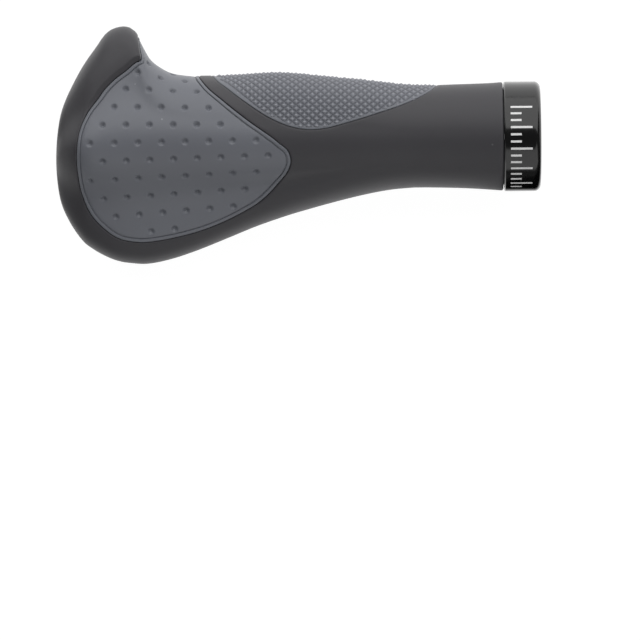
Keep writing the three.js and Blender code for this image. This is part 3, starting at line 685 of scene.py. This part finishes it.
# Geometry Nodes sink the pad's face round each place
dent_inputs = {"Pad": "Geometry", "Dent places": "Object", "Dent radius": "Float", "Dent depth": "Float"}
dent_tree = new_tree("dented_pad", {**dent_inputs, "Rubber": "Material"}, "Dented pad")
given = add_node(dent_tree, "NodeGroupInput")
places = add_node(dent_tree, "GeometryNodeObjectInfo", {"Object": given.outputs["Dent places"]})
near = add_node(
    dent_tree, "GeometryNodeProximity", {"Geometry": places.outputs["Geometry"]}, target_element="POINTS"
)
sunk = add_node(
    dent_tree,
    "ShaderNodeMapRange",
    {
        "Value": near.outputs["Distance"],
        "From Min": 0.0,
        "From Max": given.outputs["Dent radius"],
        "To Min": 1.0,
        "To Max": 0.0,
    },
    interpolation_type="SMOOTHSTEP",
)
amount = add_node(
    dent_tree, "ShaderNodeMath", {0: sunk, 1: given.outputs["Dent depth"]}, operation="MULTIPLY"
)
inwards = add_node(dent_tree, "ShaderNodeMath", {0: amount, 1: -1.0}, operation="MULTIPLY")
facing = add_node(dent_tree, "GeometryNodeInputNormal")
offset = add_node(
    dent_tree, "ShaderNodeVectorMath", {"Vector": facing, "Scale": inwards}, operation="SCALE"
)
pressed = add_node(
    dent_tree, "GeometryNodeSetPosition", {"Geometry": given.outputs["Pad"], "Offset": offset}
)
real = add_node(dent_tree, "GeometryNodeRealizeInstances", {"Geometry": pressed})
painted = add_node(
    dent_tree, "GeometryNodeSetMaterial", {"Geometry": real, "Material": given.outputs["Rubber"]}
)
add_node(dent_tree, "NodeGroupOutput", {"Dented pad": painted})


def keep_modified(piece):
    """Gives a piece the plain mesh that its modifiers make."""
    bpy.context.view_layer.update()
    evaluated = piece.evaluated_get(bpy.context.evaluated_depsgraph_get())
    made = bpy.data.meshes.new_from_object(evaluated)
    piece.modifiers.clear()
    plain = piece.data
    piece.data = made
    bpy.data.meshes.remove(plain)
    made.name = piece.name
    if made.materials and made.materials[0] is None:
        made.materials.pop(index=0)


def apply_tree(piece, tree, values):
    """Runs a node tree on a piece with named inputs, and keeps the result as its plain mesh."""
    modifier = piece.modifiers.new(tree.name, "NODES")
    modifier.node_group = tree
    sockets = {item.name: item.identifier for item in tree.interface.items_tree if item.in_out == "INPUT"}
    for name, value in values.items():
        modifier[sockets[name]] = value
    keep_modified(piece)


apply_tree(
    palm,
    dent_tree,
    {
        "Dent places": dents,
        "Dent radius": DENT_RADIUS * MM,
        "Dent depth": DENT_DEPTH * MM,
        "Rubber": grey_rubber,
    },
)
bpy.data.objects.remove(dents)
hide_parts("palm_pad")
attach(palm, "root")

# Finger pad
# The same grey rubber, let into the front of the tube as a leaf. Its face is knurled with low pyramids
# in a diamond lattice, inside a plain narrow rim.
FINGER_PROFILE = [
    (-1.0, -0.22), (-0.85, -0.16), (-0.75, -0.05), (-0.35, -0.02), (-0.2, -0.07), (-0.12, -0.16),
    (-0.08, -0.35), (-0.08, -1.3),
]
FINGER_GRID = 0.8
KNURL_PITCH = 2.25
KNURL_HEIGHT = 0.55
KNURL_BED = -0.22
KNURL_ROOT = 0.06
KNURL_SMALLEST = 0.25
KNURL_START = 59.65
KNURL_COLUMNS = (-42, 24)
# Spacing of the rows as seen from above, and over the skin on the steep front
KNURL_ROWS = 1.92
KNURL_ROWS_STEEP = 2.8
KNURL_FIRST_ROW = 0.13
KNURL_FLAT_TIP = 0.05
KNURL_GROWTH = 0.6
# Width of the plain rim against the share of the rubber's length
KNURL_RIM = [(0.15, 0.5), (0.2, 0.15), (0.5, 0.15), (0.56, 0.8), (0.61, 1.3)]
finger_pad = let_in_pad("finger_pad_skin", finger_edge, FINGER_PROFILE, FINGER_GRID, [], 0.0, grey_rubber)

# Places of the pyramids: columns along the bar, and rows that seen from above are level and evenly spaced
# down to the steep front, where they are spaced evenly over the skin. The rows below mirror those above,
# and where they meet, at the mould's parting line, the pyramids run into each other. The plain rim is
# wider at the outboard end, and a pyramid that would reach far into it is smaller.
half_pitch = KNURL_PITCH / 2
knurl_spots, knurl_stretches = [], []
quarters = np.linspace(1.0, 0, 400)
for i in range(*KNURL_COLUMNS):
    walk = KNURL_START + i * half_pitch
    line = on_skin(np.column_stack([np.full(len(quarters), walk), quarters]))
    steps = np.linalg.norm(np.diff(line, axis=0), axis=1)
    steps_ahead = np.abs(np.diff(line[:, 1]))
    row_steps = np.maximum(steps_ahead / KNURL_ROWS, steps / KNURL_ROWS_STEEP)
    rows_passed = np.concatenate([[0], np.cumsum(row_steps)])
    for row in range(i % 2, math.floor(2 * (rows_passed[-1] - KNURL_FIRST_ROW)) + 1, 2):
        rows_here = row / 2 + KNURL_FIRST_ROW
        quarter_share = np.interp(rows_here, rows_passed, quarters)
        spacing = np.interp(rows_here, rows_passed[1:], steps / row_steps)
        for side in (1, -1):
            knurl_spots.append((walk, side * quarter_share))
            knurl_stretches.append(spacing / KNURL_PITCH)
knurl_spots, knurl_stretches = np.array(knurl_spots), np.array(knurl_stretches)
rim = np.interp(knurl_spots[:, 0] / RUBBER_LENGTH, *np.transpose(KNURL_RIM))
knurl_sizes = np.clip((-edge_distance(finger_edge, knurl_spots) - rim) / (KNURL_GROWTH * half_pitch), 0, 1)
knurl_scales = np.column_stack([knurl_sizes, knurl_sizes * knurl_stretches, knurl_sizes])
large = knurl_sizes > KNURL_SMALLEST
knurl_spots, knurl_scales = knurl_spots[large], knurl_scales[large]
knurls = bpy.data.meshes.new("knurl_places")
knurls.from_pydata([tuple(p) for p in on_skin(knurl_spots, KNURL_BED - KNURL_ROOT) * MM], [], [])
for label, vectors in (("facing", read_table(normal_table, knurl_spots)), ("size", knurl_scales)):
    attribute = knurls.attributes.new(label, "FLOAT_VECTOR", "POINT")
    attribute.data.foreach_set("vector", vectors.astype(np.float32).ravel())
finger_knurls = bpy.data.objects.new("finger_pad_knurls", knurls)
scene.collection.objects.link(finger_knurls)

# The same rubber on the pyramids, painted paler towards their tips as a painted highlight of the lit peaks,
# with the same coarse grain
KNURL_RUBBER_GRAIN = 0.333
tip_lit_rubber, tree = new_material("worn_grey_rubber")
place = add_node(tree, "ShaderNodeTexCoord").outputs["Object"]
grain = add_node(tree, "ShaderNodeTexNoise", {"Vector": place, "Scale": 1 / (KNURL_RUBBER_GRAIN * MM), "Detail": 4})
rise = add_node(tree, "ShaderNodeAttribute", attribute_name="rise").outputs["Fac"]
# Painted highlight: the colour turns paler with the height share up each pyramid, for its lit tip
painted_tip_light = add_node(tree, "ShaderNodeMapRange", {"Value": rise, "From Min": 0.2, "From Max": 1.0})
tint = add_node(
    tree,
    "ShaderNodeMix",
    {"Factor": painted_tip_light, "A": linear("#606269"), "B": linear("#96989f")},
    data_type="RGBA",
)
relief = add_node(tree, "ShaderNodeBump", {"Height": grain, "Strength": 0.3, "Distance": 0.05 * MM})
skin = add_node(
    tree, "ShaderNodeBsdfPrincipled", {"Base Color": tint, "Roughness": 0.48, "IOR": 1.5, "Normal": relief}
)
add_node(tree, "ShaderNodeOutputMaterial", {"Surface": skin})

# Geometry Nodes stand a four-sided pyramid on each place
knurl_inputs = {"Places": "Geometry", "Pitch": "Float", "Height": "Float", "Rubber": "Material"}
knurl_tree = new_tree("knurled_face", knurl_inputs, "Knurls")
given = add_node(knurl_tree, "NodeGroupInput")
half = add_node(knurl_tree, "ShaderNodeMath", {0: given.outputs["Pitch"], 1: 0.5}, operation="MULTIPLY")
tip = add_node(
    knurl_tree, "ShaderNodeMath", {0: given.outputs["Pitch"], 1: KNURL_FLAT_TIP}, operation="MULTIPLY"
)
pyramid = add_node(
    knurl_tree,
    "GeometryNodeMeshCone",
    {"Vertices": 4, "Radius Top": tip, "Radius Bottom": half, "Depth": given.outputs["Height"]},
)
# The height share up each pyramid, which the material turns into a painted highlight at the tips
position = add_node(knurl_tree, "GeometryNodeInputPosition")
height = add_node(knurl_tree, "ShaderNodeSeparateXYZ", {"Vector": position})
rise = add_node(
    knurl_tree, "ShaderNodeMath", {0: height.outputs["Z"], 1: given.outputs["Height"]}, operation="DIVIDE"
)
tipped = add_node(
    knurl_tree,
    "GeometryNodeStoreNamedAttribute",
    {"Geometry": pyramid, "Name": "rise", "Value": rise},
    data_type="FLOAT",
    domain="POINT",
)
facing = add_node(
    knurl_tree, "GeometryNodeInputNamedAttribute", {"Name": "facing"}, data_type="FLOAT_VECTOR"
)
size = add_node(knurl_tree, "GeometryNodeInputNamedAttribute", {"Name": "size"}, data_type="FLOAT_VECTOR")
turned = add_node(
    knurl_tree,
    "FunctionNodeAxesToRotation",
    {"Primary Axis": facing, "Secondary Axis": (1.0, 0.0, 0.0)},
    primary_axis="Z",
    secondary_axis="X",
)
stood = add_node(
    knurl_tree,
    "GeometryNodeInstanceOnPoints",
    {"Points": given.outputs["Places"], "Instance": tipped, "Rotation": turned, "Scale": size},
)
real = add_node(knurl_tree, "GeometryNodeRealizeInstances", {"Geometry": stood})
painted = add_node(
    knurl_tree, "GeometryNodeSetMaterial", {"Geometry": real, "Material": given.outputs["Rubber"]}
)
add_node(knurl_tree, "NodeGroupOutput", {"Knurls": painted})
apply_tree(
    finger_knurls,
    knurl_tree,
    {"Pitch": KNURL_PITCH * MM, "Height": (KNURL_HEIGHT + KNURL_ROOT) * MM, "Rubber": tip_lit_rubber},
)
for piece in (finger_pad, finger_knurls):
    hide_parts("finger_pad")
    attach(piece, "root")

# Clamp ring
# Turned and milled aluminium, polished and anodised gloss black. It is split underneath, where a low
# boss carries the screw, and has a broad rounding at its inboard edge.
BORE_RADIUS = 11.2
RING_RADIUS = 15.3
RING_FILLET = 1.8
RING_CHAMFER = 0.3
BORE_BEVEL = 0.2
RING_OUTLINE_COUNT = 288
FILLET_STEPS = 13
EDGE_BAND = 0.1
BOSS_HEIGHT = 2.15
BOSS_HALF_ANGLE = 0.9
BOSS_POWER = 1.5
SLIT_WIDTH = 1.6
TAB_LENGTH = 4.0
TAB_COUNT = 4
TAB_HALF_ANGLE = 0.3
TAB_STEPS = 9
CORE_RADIUS = 12.6
NOTCH_CLEARANCE = 0.3
SCREW_X = -0.36 * RING_WIDTH
SCREW_Z = -13.7
SCREW_RADIUS = 1.5
SCREW_CLEARANCE = 0.2
HEAD_RADIUS = 2.75
HEAD_CLEARANCE = 0.3
HEAD_START = 4.3


def lofted(rows):
    """Points and faces of a closed tube whose rows each go round it, joined last to first."""
    count = len(rows[0])
    faces = []
    for row in range(len(rows)):
        below = (row + 1) % len(rows)
        for j in range(count):
            k = (j + 1) % count
            faces.append((row * count + j, row * count + k, below * count + k, below * count + j))
    return np.concatenate(rows), faces


def capped(rows):
    """Points and faces of a solid bar of rows, closed by a flat face at each end."""
    count = len(rows[0])
    points, faces = lofted(rows)
    faces = faces[: (len(rows) - 1) * count]
    last = (len(rows) - 1) * count
    return points, faces + [tuple(reversed(range(count))), tuple(range(last, last + count))]


def ring_row(x, radii, angles):
    return np.column_stack([np.full(len(angles), x), radii * np.cos(angles), radii * np.sin(angles)])


def cut(piece, cutters):
    """Takes the cutters out of a piece and deletes them."""
    for cutter in cutters:
        modifier = piece.modifiers.new("cut", "BOOLEAN")
        modifier.operation = "DIFFERENCE"
        modifier.solver = "MANIFOLD"
        modifier.object = cutter
    keep_modified(piece)
    for cutter in cutters:
        bpy.data.objects.remove(cutter)


def tab_sector(inner, outer, middle, half_angle, from_x, to_x):
    """Points and faces of a sector of a tube round the bar's axis."""
    spread = np.linspace(-half_angle, half_angle, TAB_STEPS)
    angles = np.concatenate([middle + spread, middle - spread])
    radii = np.repeat([outer, inner], len(spread))
    return capped([ring_row(x, radii, angles) for x in (from_x, to_x)])


around = np.linspace(0, 2 * math.pi, RING_OUTLINE_COUNT, endpoint=False)
from_boss = np.abs((around + math.pi / 2 + math.pi) % (2 * math.pi) - math.pi)
rise = np.cos(math.pi / 2 * np.minimum(1, from_boss / BOSS_HALF_ANGLE) ** BOSS_POWER) ** 2
outline = RING_RADIUS + BOSS_HEIGHT * rise
turn = np.linspace(0, math.pi / 2, FILLET_STEPS)
ring_rows = [
    ring_row(-RING_FILLET * (1 - math.sin(a)), outline - RING_FILLET * (1 - math.cos(a)), around)
    for a in turn[::-1]
]
chamfer_x = RING_CHAMFER - RING_WIDTH
for x in (-RING_FILLET - EDGE_BAND, -RING_WIDTH / 2, chamfer_x + EDGE_BAND, chamfer_x):
    ring_rows.append(ring_row(x, outline, around))
ring_rows.append(ring_row(-RING_WIDTH, outline - RING_CHAMFER, around))
for x, bevel in (
    (-RING_WIDTH, BORE_BEVEL),
    (BORE_BEVEL - RING_WIDTH, 0),
    (-BORE_BEVEL, 0),
    (0, BORE_BEVEL),
):
    ring_rows.append(ring_row(x, np.full(RING_OUTLINE_COUNT, BORE_RADIUS + bevel), around))

# Anodised aluminium: polished, then dyed black under a clear hard oxide, so it shines like lacquer, with
# faint clouds of 2.5 mm in the polish
POLISH_CLOUD = 2.5
anodised, tree = new_material("gloss_black_anodised_aluminium")
place = add_node(tree, "ShaderNodeTexCoord").outputs["Object"]
wander = add_node(
    tree, "ShaderNodeTexNoise", {"Vector": place, "Scale": 1 / (POLISH_CLOUD * MM), "Detail": 2}
)
gloss = add_node(tree, "ShaderNodeMapRange", {"Value": wander, "To Min": 0.12, "To Max": 0.2})
skin = add_node(
    tree, "ShaderNodeBsdfPrincipled", {"Base Color": linear("#0a0a0b"), "Roughness": gloss, "IOR": 1.55}
)
add_node(tree, "ShaderNodeOutputMaterial", {"Surface": skin})

ring = new_piece("clamp_ring_turned", *lofted(ring_rows), anodised, 28)
# How far cutters reach past what they cut: a little, or right through
PAST = 1.0
FAR = 20.0
half_slit = SLIT_WIDTH / 2
slit_row = [(-half_slit, -FAR), (half_slit, -FAR), (half_slit, 0), (-half_slit, 0)]
slit_rows = [np.array([(x, y, z) for y, z in slit_row]) for x in (-2 * RING_WIDTH, RING_WIDTH)]
cutters = [new_piece("slit_cutter", *capped(slit_rows), anodised)]
for i in range(TAB_COUNT):
    sector = tab_sector(
        BORE_RADIUS - PAST,
        CORE_RADIUS + NOTCH_CLEARANCE,
        (2 * i + 1) * math.pi / TAB_COUNT,
        TAB_HALF_ANGLE + NOTCH_CLEARANCE / BORE_RADIUS,
        -RING_WIDTH - PAST,
        TAB_LENGTH - RING_WIDTH + NOTCH_CLEARANCE,
    )
    cutters.append(new_piece("notch_cutter", *sector, anodised))


def across_row(y, radius, count=48):
    """A row of points round the screw's axis at a place across the bar."""
    angles = np.linspace(0, 2 * math.pi, count, endpoint=False)
    radius = np.broadcast_to(radius, count)
    along, up = SCREW_X + radius * np.cos(angles), SCREW_Z - radius * np.sin(angles)
    return np.column_stack([along, np.full(count, y), up])


hole = [across_row(y, SCREW_RADIUS + SCREW_CLEARANCE) for y in (-FAR, FAR)]
seat = [across_row(y, HEAD_RADIUS + HEAD_CLEARANCE) for y in (-FAR, -HEAD_START)]
cutters.append(new_piece("hole_cutter", *capped(hole), anodised))
cutters.append(new_piece("seat_cutter", *capped(seat), anodised))
cut(ring, cutters)
soften_edges(ring, 28)
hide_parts("clamp_ring")
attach(ring, "root")

# Angle scale on the clamp ring
# White pad-printed ticks, evenly spaced round the ring, to set the grip at the same angle again. They
# are plain strokes, and every third is twice as long.
TICK_COUNT = 14
TICK_STEP = 7.5
TICK_FIRST = 31.0
TICK_WIDTH = 0.6
TICK_LENGTH = 3.0
TICK_FROM = -8.5
INK_THICKNESS = 0.03

# White ink: pad-printed and hardly thicker than a coat of paint, with a satin skin that is a little
# uneven over each millimetre
INK_CLOUD = 1.11
ink, tree = new_material("white_pad_print_ink")
place = add_node(tree, "ShaderNodeTexCoord").outputs["Object"]
wear = add_node(tree, "ShaderNodeTexNoise", {"Vector": place, "Scale": 1 / (INK_CLOUD * MM), "Detail": 4})
tint = add_node(
    tree,
    "ShaderNodeMix",
    {"Factor": wear, "A": linear("#dcdcdc"), "B": linear("#f2f2f2")},
    data_type="RGBA",
)
skin = add_node(tree, "ShaderNodeBsdfPrincipled", {"Base Color": tint, "Roughness": 0.4, "IOR": 1.5})
add_node(tree, "ShaderNodeOutputMaterial", {"Surface": skin})

# Geometry Nodes make the strokes, one for each step round the ring
tick_sizes = ("First angle", "Step", "Width", "Length", "Thickness", "Radius", "From")
tick_inputs = {"Count": "Int", **dict.fromkeys(tick_sizes, "Float"), "Ink": "Material"}
tick_tree = new_tree("angle_scale", tick_inputs, "Ticks")
given = add_node(tick_tree, "NodeGroupInput")
on_axis = add_node(
    tick_tree, "GeometryNodeMeshLine", {"Count": given.outputs["Count"], "Offset": (0, 0, 0)}, mode="OFFSET"
)
index = add_node(tick_tree, "GeometryNodeInputIndex")
angle = add_node(
    tick_tree,
    "ShaderNodeMath",
    {0: index, 1: given.outputs["Step"], 2: given.outputs["First angle"]},
    operation="MULTIPLY_ADD",
)
turn_by = add_node(tick_tree, "ShaderNodeCombineXYZ", {"X": angle})
third = add_node(tick_tree, "ShaderNodeMath", {0: index, 1: 3.0}, operation="MODULO")
is_long = add_node(tick_tree, "ShaderNodeMath", {0: third, 1: 0.5}, operation="LESS_THAN")
stretch = add_node(tick_tree, "ShaderNodeMath", {0: is_long, 1: 1.0, 2: 1.0}, operation="MULTIPLY_ADD")
stretched = add_node(tick_tree, "ShaderNodeCombineXYZ", {"X": stretch, "Y": 1.0, "Z": 1.0})
box_size = add_node(
    tick_tree,
    "ShaderNodeCombineXYZ",
    {"X": given.outputs["Length"], "Y": given.outputs["Width"], "Z": given.outputs["Thickness"]},
)
stroke = add_node(tick_tree, "GeometryNodeMeshCube", {"Size": box_size})
half_length = add_node(
    tick_tree, "ShaderNodeMath", {0: given.outputs["Length"], 1: 0.5}, operation="MULTIPLY"
)
lift = add_node(tick_tree, "ShaderNodeCombineXYZ", {"X": half_length, "Z": given.outputs["Radius"]})
lifted = add_node(tick_tree, "GeometryNodeTransform", {"Geometry": stroke, "Translation": lift})
laid = add_node(
    tick_tree,
    "GeometryNodeInstanceOnPoints",
    {"Points": on_axis, "Instance": lifted, "Rotation": turn_by, "Scale": stretched},
)
real = add_node(tick_tree, "GeometryNodeRealizeInstances", {"Geometry": laid})
along = add_node(tick_tree, "ShaderNodeCombineXYZ", {"X": given.outputs["From"]})
moved = add_node(tick_tree, "GeometryNodeSetPosition", {"Geometry": real, "Offset": along})
painted = add_node(
    tick_tree, "GeometryNodeSetMaterial", {"Geometry": moved, "Material": given.outputs["Ink"]}
)
add_node(tick_tree, "NodeGroupOutput", {"Ticks": painted})
ticks = bpy.data.objects.new("angle_scale_ticks", bpy.data.meshes.new("angle_scale_ticks"))
scene.collection.objects.link(ticks)
apply_tree(
    ticks,
    tick_tree,
    {
        "Count": TICK_COUNT,
        "First angle": -math.radians(TICK_FIRST),
        "Step": math.radians(TICK_STEP),
        "Width": TICK_WIDTH * MM,
        "Length": TICK_LENGTH * MM,
        "Thickness": 2 * INK_THICKNESS * MM,
        "Radius": RING_RADIUS * MM,
        "From": TICK_FROM * MM,
        "Ink": ink,
    },
)
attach(ticks, "root")

# Clamp screw
# An M3 socket head cap screw of alloy steel with a black oxide skin, tightened across the ring's slit.
# Its head is knurled round the side and has a hex socket for a 2.5 mm key.
HEAD_HEIGHT = 3.0
SCREW_LENGTH = 12.0
HEAD_BEVEL = 0.3
HEAD_RIDGES = 36
RIDGE_DEPTH = 0.08
UNDER_HEAD_BEVEL = 0.15
SOCKET_FLATS = 2.5
SOCKET_DEPTH = 1.5
THREAD_PITCH = 0.5
THREAD_DEPTH = 0.3
THREAD_START = 0.6
THREAD_FADE = 0.4
THREAD_END = 0.3
TIP_BEVEL = 0.1
ROWS_PER_TURN = 6
head_top = -(HEAD_START + HEAD_CLEARANCE + HEAD_HEIGHT)
under_head = head_top + HEAD_HEIGHT
screw_tip = under_head + SCREW_LENGTH
count = 4 * HEAD_RIDGES
ridges = HEAD_RADIUS - RIDGE_DEPTH * (np.arange(count) % 4 == 0)
screw_rows = [across_row(head_top, HEAD_RADIUS - HEAD_BEVEL, count)]
screw_rows += [across_row(y, ridges, count) for y in (head_top + HEAD_BEVEL, under_head - UNDER_HEAD_BEVEL)]
for radius in (HEAD_RADIUS - UNDER_HEAD_BEVEL, SCREW_RADIUS):
    screw_rows.append(across_row(under_head, radius, count))
turns = np.arange(count) / count
for y in np.arange(under_head + THREAD_START, screw_tip - THREAD_END, THREAD_PITCH / ROWS_PER_TURN):
    phase = (y / THREAD_PITCH - turns) % 1
    fading = min(1, (y - under_head - THREAD_START) / THREAD_FADE)
    screw_rows.append(across_row(y, SCREW_RADIUS - THREAD_DEPTH * np.abs(2 * phase - 1) * fading, count))
screw_rows += [across_row(screw_tip, SCREW_RADIUS - THREAD_DEPTH - TIP_BEVEL, count)]

# Black oxide steel: a thin dark skin with a light film of oil, cloudy over each millimetre
OXIDE_CLOUD = 1.11
oxide, tree = new_material("black_oxide_steel")
place = add_node(tree, "ShaderNodeTexCoord").outputs["Object"]
wander = add_node(
    tree, "ShaderNodeTexNoise", {"Vector": place, "Scale": 1 / (OXIDE_CLOUD * MM), "Detail": 3}
)
tint = add_node(
    tree,
    "ShaderNodeMix",
    {"Factor": wander, "A": linear("#2a2a2c"), "B": linear("#3a3a3b")},
    data_type="RGBA",
)
skin = add_node(tree, "ShaderNodeBsdfPrincipled", {"Base Color": tint, "Metallic": 0.9, "Roughness": 0.38})
add_node(tree, "ShaderNodeOutputMaterial", {"Surface": skin})
screw = new_piece("clamp_screw_turned", *capped(screw_rows), oxide, 28)
socket_radius = SOCKET_FLATS / math.sqrt(3)
socket = [across_row(head_top + depth, socket_radius, 6) for depth in (-PAST, SOCKET_DEPTH)]
cut(screw, [new_piece("socket_cutter", *capped(socket), oxide)])
soften_edges(screw, 28)
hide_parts("clamp_screw")
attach(screw, "root")

# Camera
# It looks straight down from two and a half metres, turned by half a degree as the bar lies in the
# picture. The picture is 178 mm wide at the bar's height, and its middle lies behind the grip.
CAMERA_HEIGHT = 2500.0
PICTURE_WIDTH = 178.3
PICTURE_MIDDLE = (-61.81, -50.7)
PICTURE_TURN = -0.0085
SENSOR = 36.0
camera_data = bpy.data.cameras.new("camera")
camera_data.sensor_width = SENSOR
camera_data.lens = SENSOR * CAMERA_HEIGHT / PICTURE_WIDTH
camera_data.clip_end = 20
camera = bpy.data.objects.new("camera", camera_data)
camera.location = Vector((*PICTURE_MIDDLE, CAMERA_HEIGHT)) * MM
camera.rotation_euler = (0, 0, PICTURE_TURN)
scene.collection.objects.link(camera)
scene.camera = camera

# Table and light
# A white table under a large soft light in front and a weaker one behind, with a dark gap overhead. At
# their level a colour renders about as it is written.
TABLE_SIZE = 8.0
low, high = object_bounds()
table_mesh = bpy.data.meshes.new("white_table")
half_table = TABLE_SIZE / 2
corners = [(-1, -1), (1, -1), (1, 1), (-1, 1)]
table_mesh.from_pydata([(x * half_table, y * half_table, low.z) for x, y in corners], [], [(0, 1, 2, 3)])
table_top = bpy.data.objects.new("white_table", table_mesh)
scene.collection.objects.link(table_top)

# Paper: white for the camera and in reflections, with a share of real light on it for the soft shadow
GLOW_SHARE = 0.85
GLOW_SEEN = 1.13
GLOW_REFLECTED = 1.5
paper, tree = new_material("white_paper_table")
ray = add_node(tree, "ShaderNodeLightPath")
seen = add_node(
    tree,
    "ShaderNodeMath",
    {0: ray.outputs["Is Camera Ray"], 1: ray.outputs["Is Glossy Ray"]},
    operation="MAXIMUM",
)
seen = add_node(
    tree, "ShaderNodeMath", {0: seen, 1: ray.outputs["Is Transmission Ray"]}, operation="MAXIMUM"
)
share_of_glow = add_node(tree, "ShaderNodeMath", {0: seen, 1: GLOW_SHARE}, operation="MULTIPLY")
matt = add_node(tree, "ShaderNodeBsdfDiffuse", {"Color": linear("#f2f2f2")})
brightness = add_node(
    tree,
    "ShaderNodeMapRange",
    {"Value": ray.outputs["Is Glossy Ray"], "To Min": GLOW_SEEN, "To Max": GLOW_REFLECTED},
)
glow = add_node(tree, "ShaderNodeEmission", {"Color": (1.0, 1.0, 1.0, 1.0), "Strength": brightness})
white = add_node(tree, "ShaderNodeMixShader", {0: share_of_glow, 1: matt, 2: glow})
# Painted dark reflections: for glossy rays the table is painted black behind the ring, and left of the nose,
# where the painted dark is weaker towards the rear. Each pair of places, in metres, is where the painted
# dark starts and where it is full.
RING_DARK_X = (-0.018, -0.012)
RING_DARK_Y = (-0.02, -0.03)
NOSE_DARK_X = (-0.14, -0.155)
NOSE_DARK_Y = (0.03, 0.01)
NOSE_WEAKER_Y = (0.0, -0.02)
NOSE_WEAKEST = 0.45
place = add_node(tree, "ShaderNodeTexCoord").outputs["Object"]
across = add_node(tree, "ShaderNodeSeparateXYZ", {"Vector": place})
table_x, table_y = across.outputs["X"], across.outputs["Y"]
darks = []
for value, (begins, full), least, most in (
    (table_x, RING_DARK_X, 0.0, 1.0),
    (table_y, RING_DARK_Y, 0.0, 1.0),
    (table_x, NOSE_DARK_X, 0.0, 1.0),
    (table_y, NOSE_DARK_Y, 0.0, 1.0),
    (table_y, NOSE_WEAKER_Y, 1.0, NOSE_WEAKEST),
):
    zone = {"Value": value, "From Min": begins, "From Max": full, "To Min": least, "To Max": most}
    darks.append(add_node(tree, "ShaderNodeMapRange", zone))
ring_x, ring_y, nose_x, nose_y, nose_weaker = darks
behind_ring = add_node(tree, "ShaderNodeMath", {0: ring_x, 1: ring_y}, operation="MULTIPLY")
left_of_nose = add_node(tree, "ShaderNodeMath", {0: nose_x, 1: nose_y}, operation="MULTIPLY")
left_of_nose = add_node(tree, "ShaderNodeMath", {0: left_of_nose, 1: nose_weaker}, operation="MULTIPLY")
either = add_node(tree, "ShaderNodeMath", {0: behind_ring, 1: left_of_nose}, operation="MAXIMUM")
painted_dark_share = add_node(
    tree, "ShaderNodeMath", {0: either, 1: ray.outputs["Is Glossy Ray"]}, operation="MULTIPLY"
)
# A black shader, seen only by glossy rays in these zones, paints the dark reflections
dark = add_node(tree, "ShaderNodeBsdfDiffuse", {"Color": linear("#000000")})
mixed = add_node(tree, "ShaderNodeMixShader", {0: painted_dark_share, 1: white, 2: dark})
add_node(tree, "ShaderNodeOutputMaterial", {"Surface": mixed})
table_mesh.materials.append(paper)

AMBIENT = 0.1
world = bpy.data.worlds.new("studio")
world.use_nodes = True
tree = world.node_tree
tree.nodes.clear()
ray = add_node(tree, "ShaderNodeLightPath")
strength = add_node(
    tree, "ShaderNodeMapRange", {"Value": ray.outputs["Is Camera Ray"], "To Min": AMBIENT, "To Max": 1.0}
)
backdrop = add_node(tree, "ShaderNodeBackground", {"Color": (1.0, 1.0, 1.0, 1.0), "Strength": strength})
add_node(tree, "ShaderNodeOutputWorld", {"Surface": backdrop})
scene.world = world

LIGHT_DISTANCE = 1.1


def soft_light(name, tilt, shift, size, brightness):
    """A rectangular light, tilted from overhead by an angle in degrees and shifted along the bar. Its
    face is as bright as white paper at a brightness of 1."""
    lamp = bpy.data.lights.new(name, "AREA")
    lamp.shape = "RECTANGLE"
    lamp.size, lamp.size_y = size
    lamp.energy = brightness * math.pi * size[0] * size[1]
    lamp_object = bpy.data.objects.new(name, lamp)
    aim = Vector(((low.x + high.x) / 2, 0, 0))
    angle = math.radians(tilt)
    lamp_object.location = aim + LIGHT_DISTANCE * Vector((shift, math.sin(angle), math.cos(angle)))
    lamp_object.rotation_euler = (aim - lamp_object.location).to_track_quat("-Z", "Y").to_euler()
    scene.collection.objects.link(lamp_object)


soft_light("front_softbox", 52, 0.1, (2.6, 1.62), 1.65)
soft_light("rear_softbox", -50, 0.25, (1.4, 1.0), 1.0)

scene.view_settings.view_transform = "Standard"
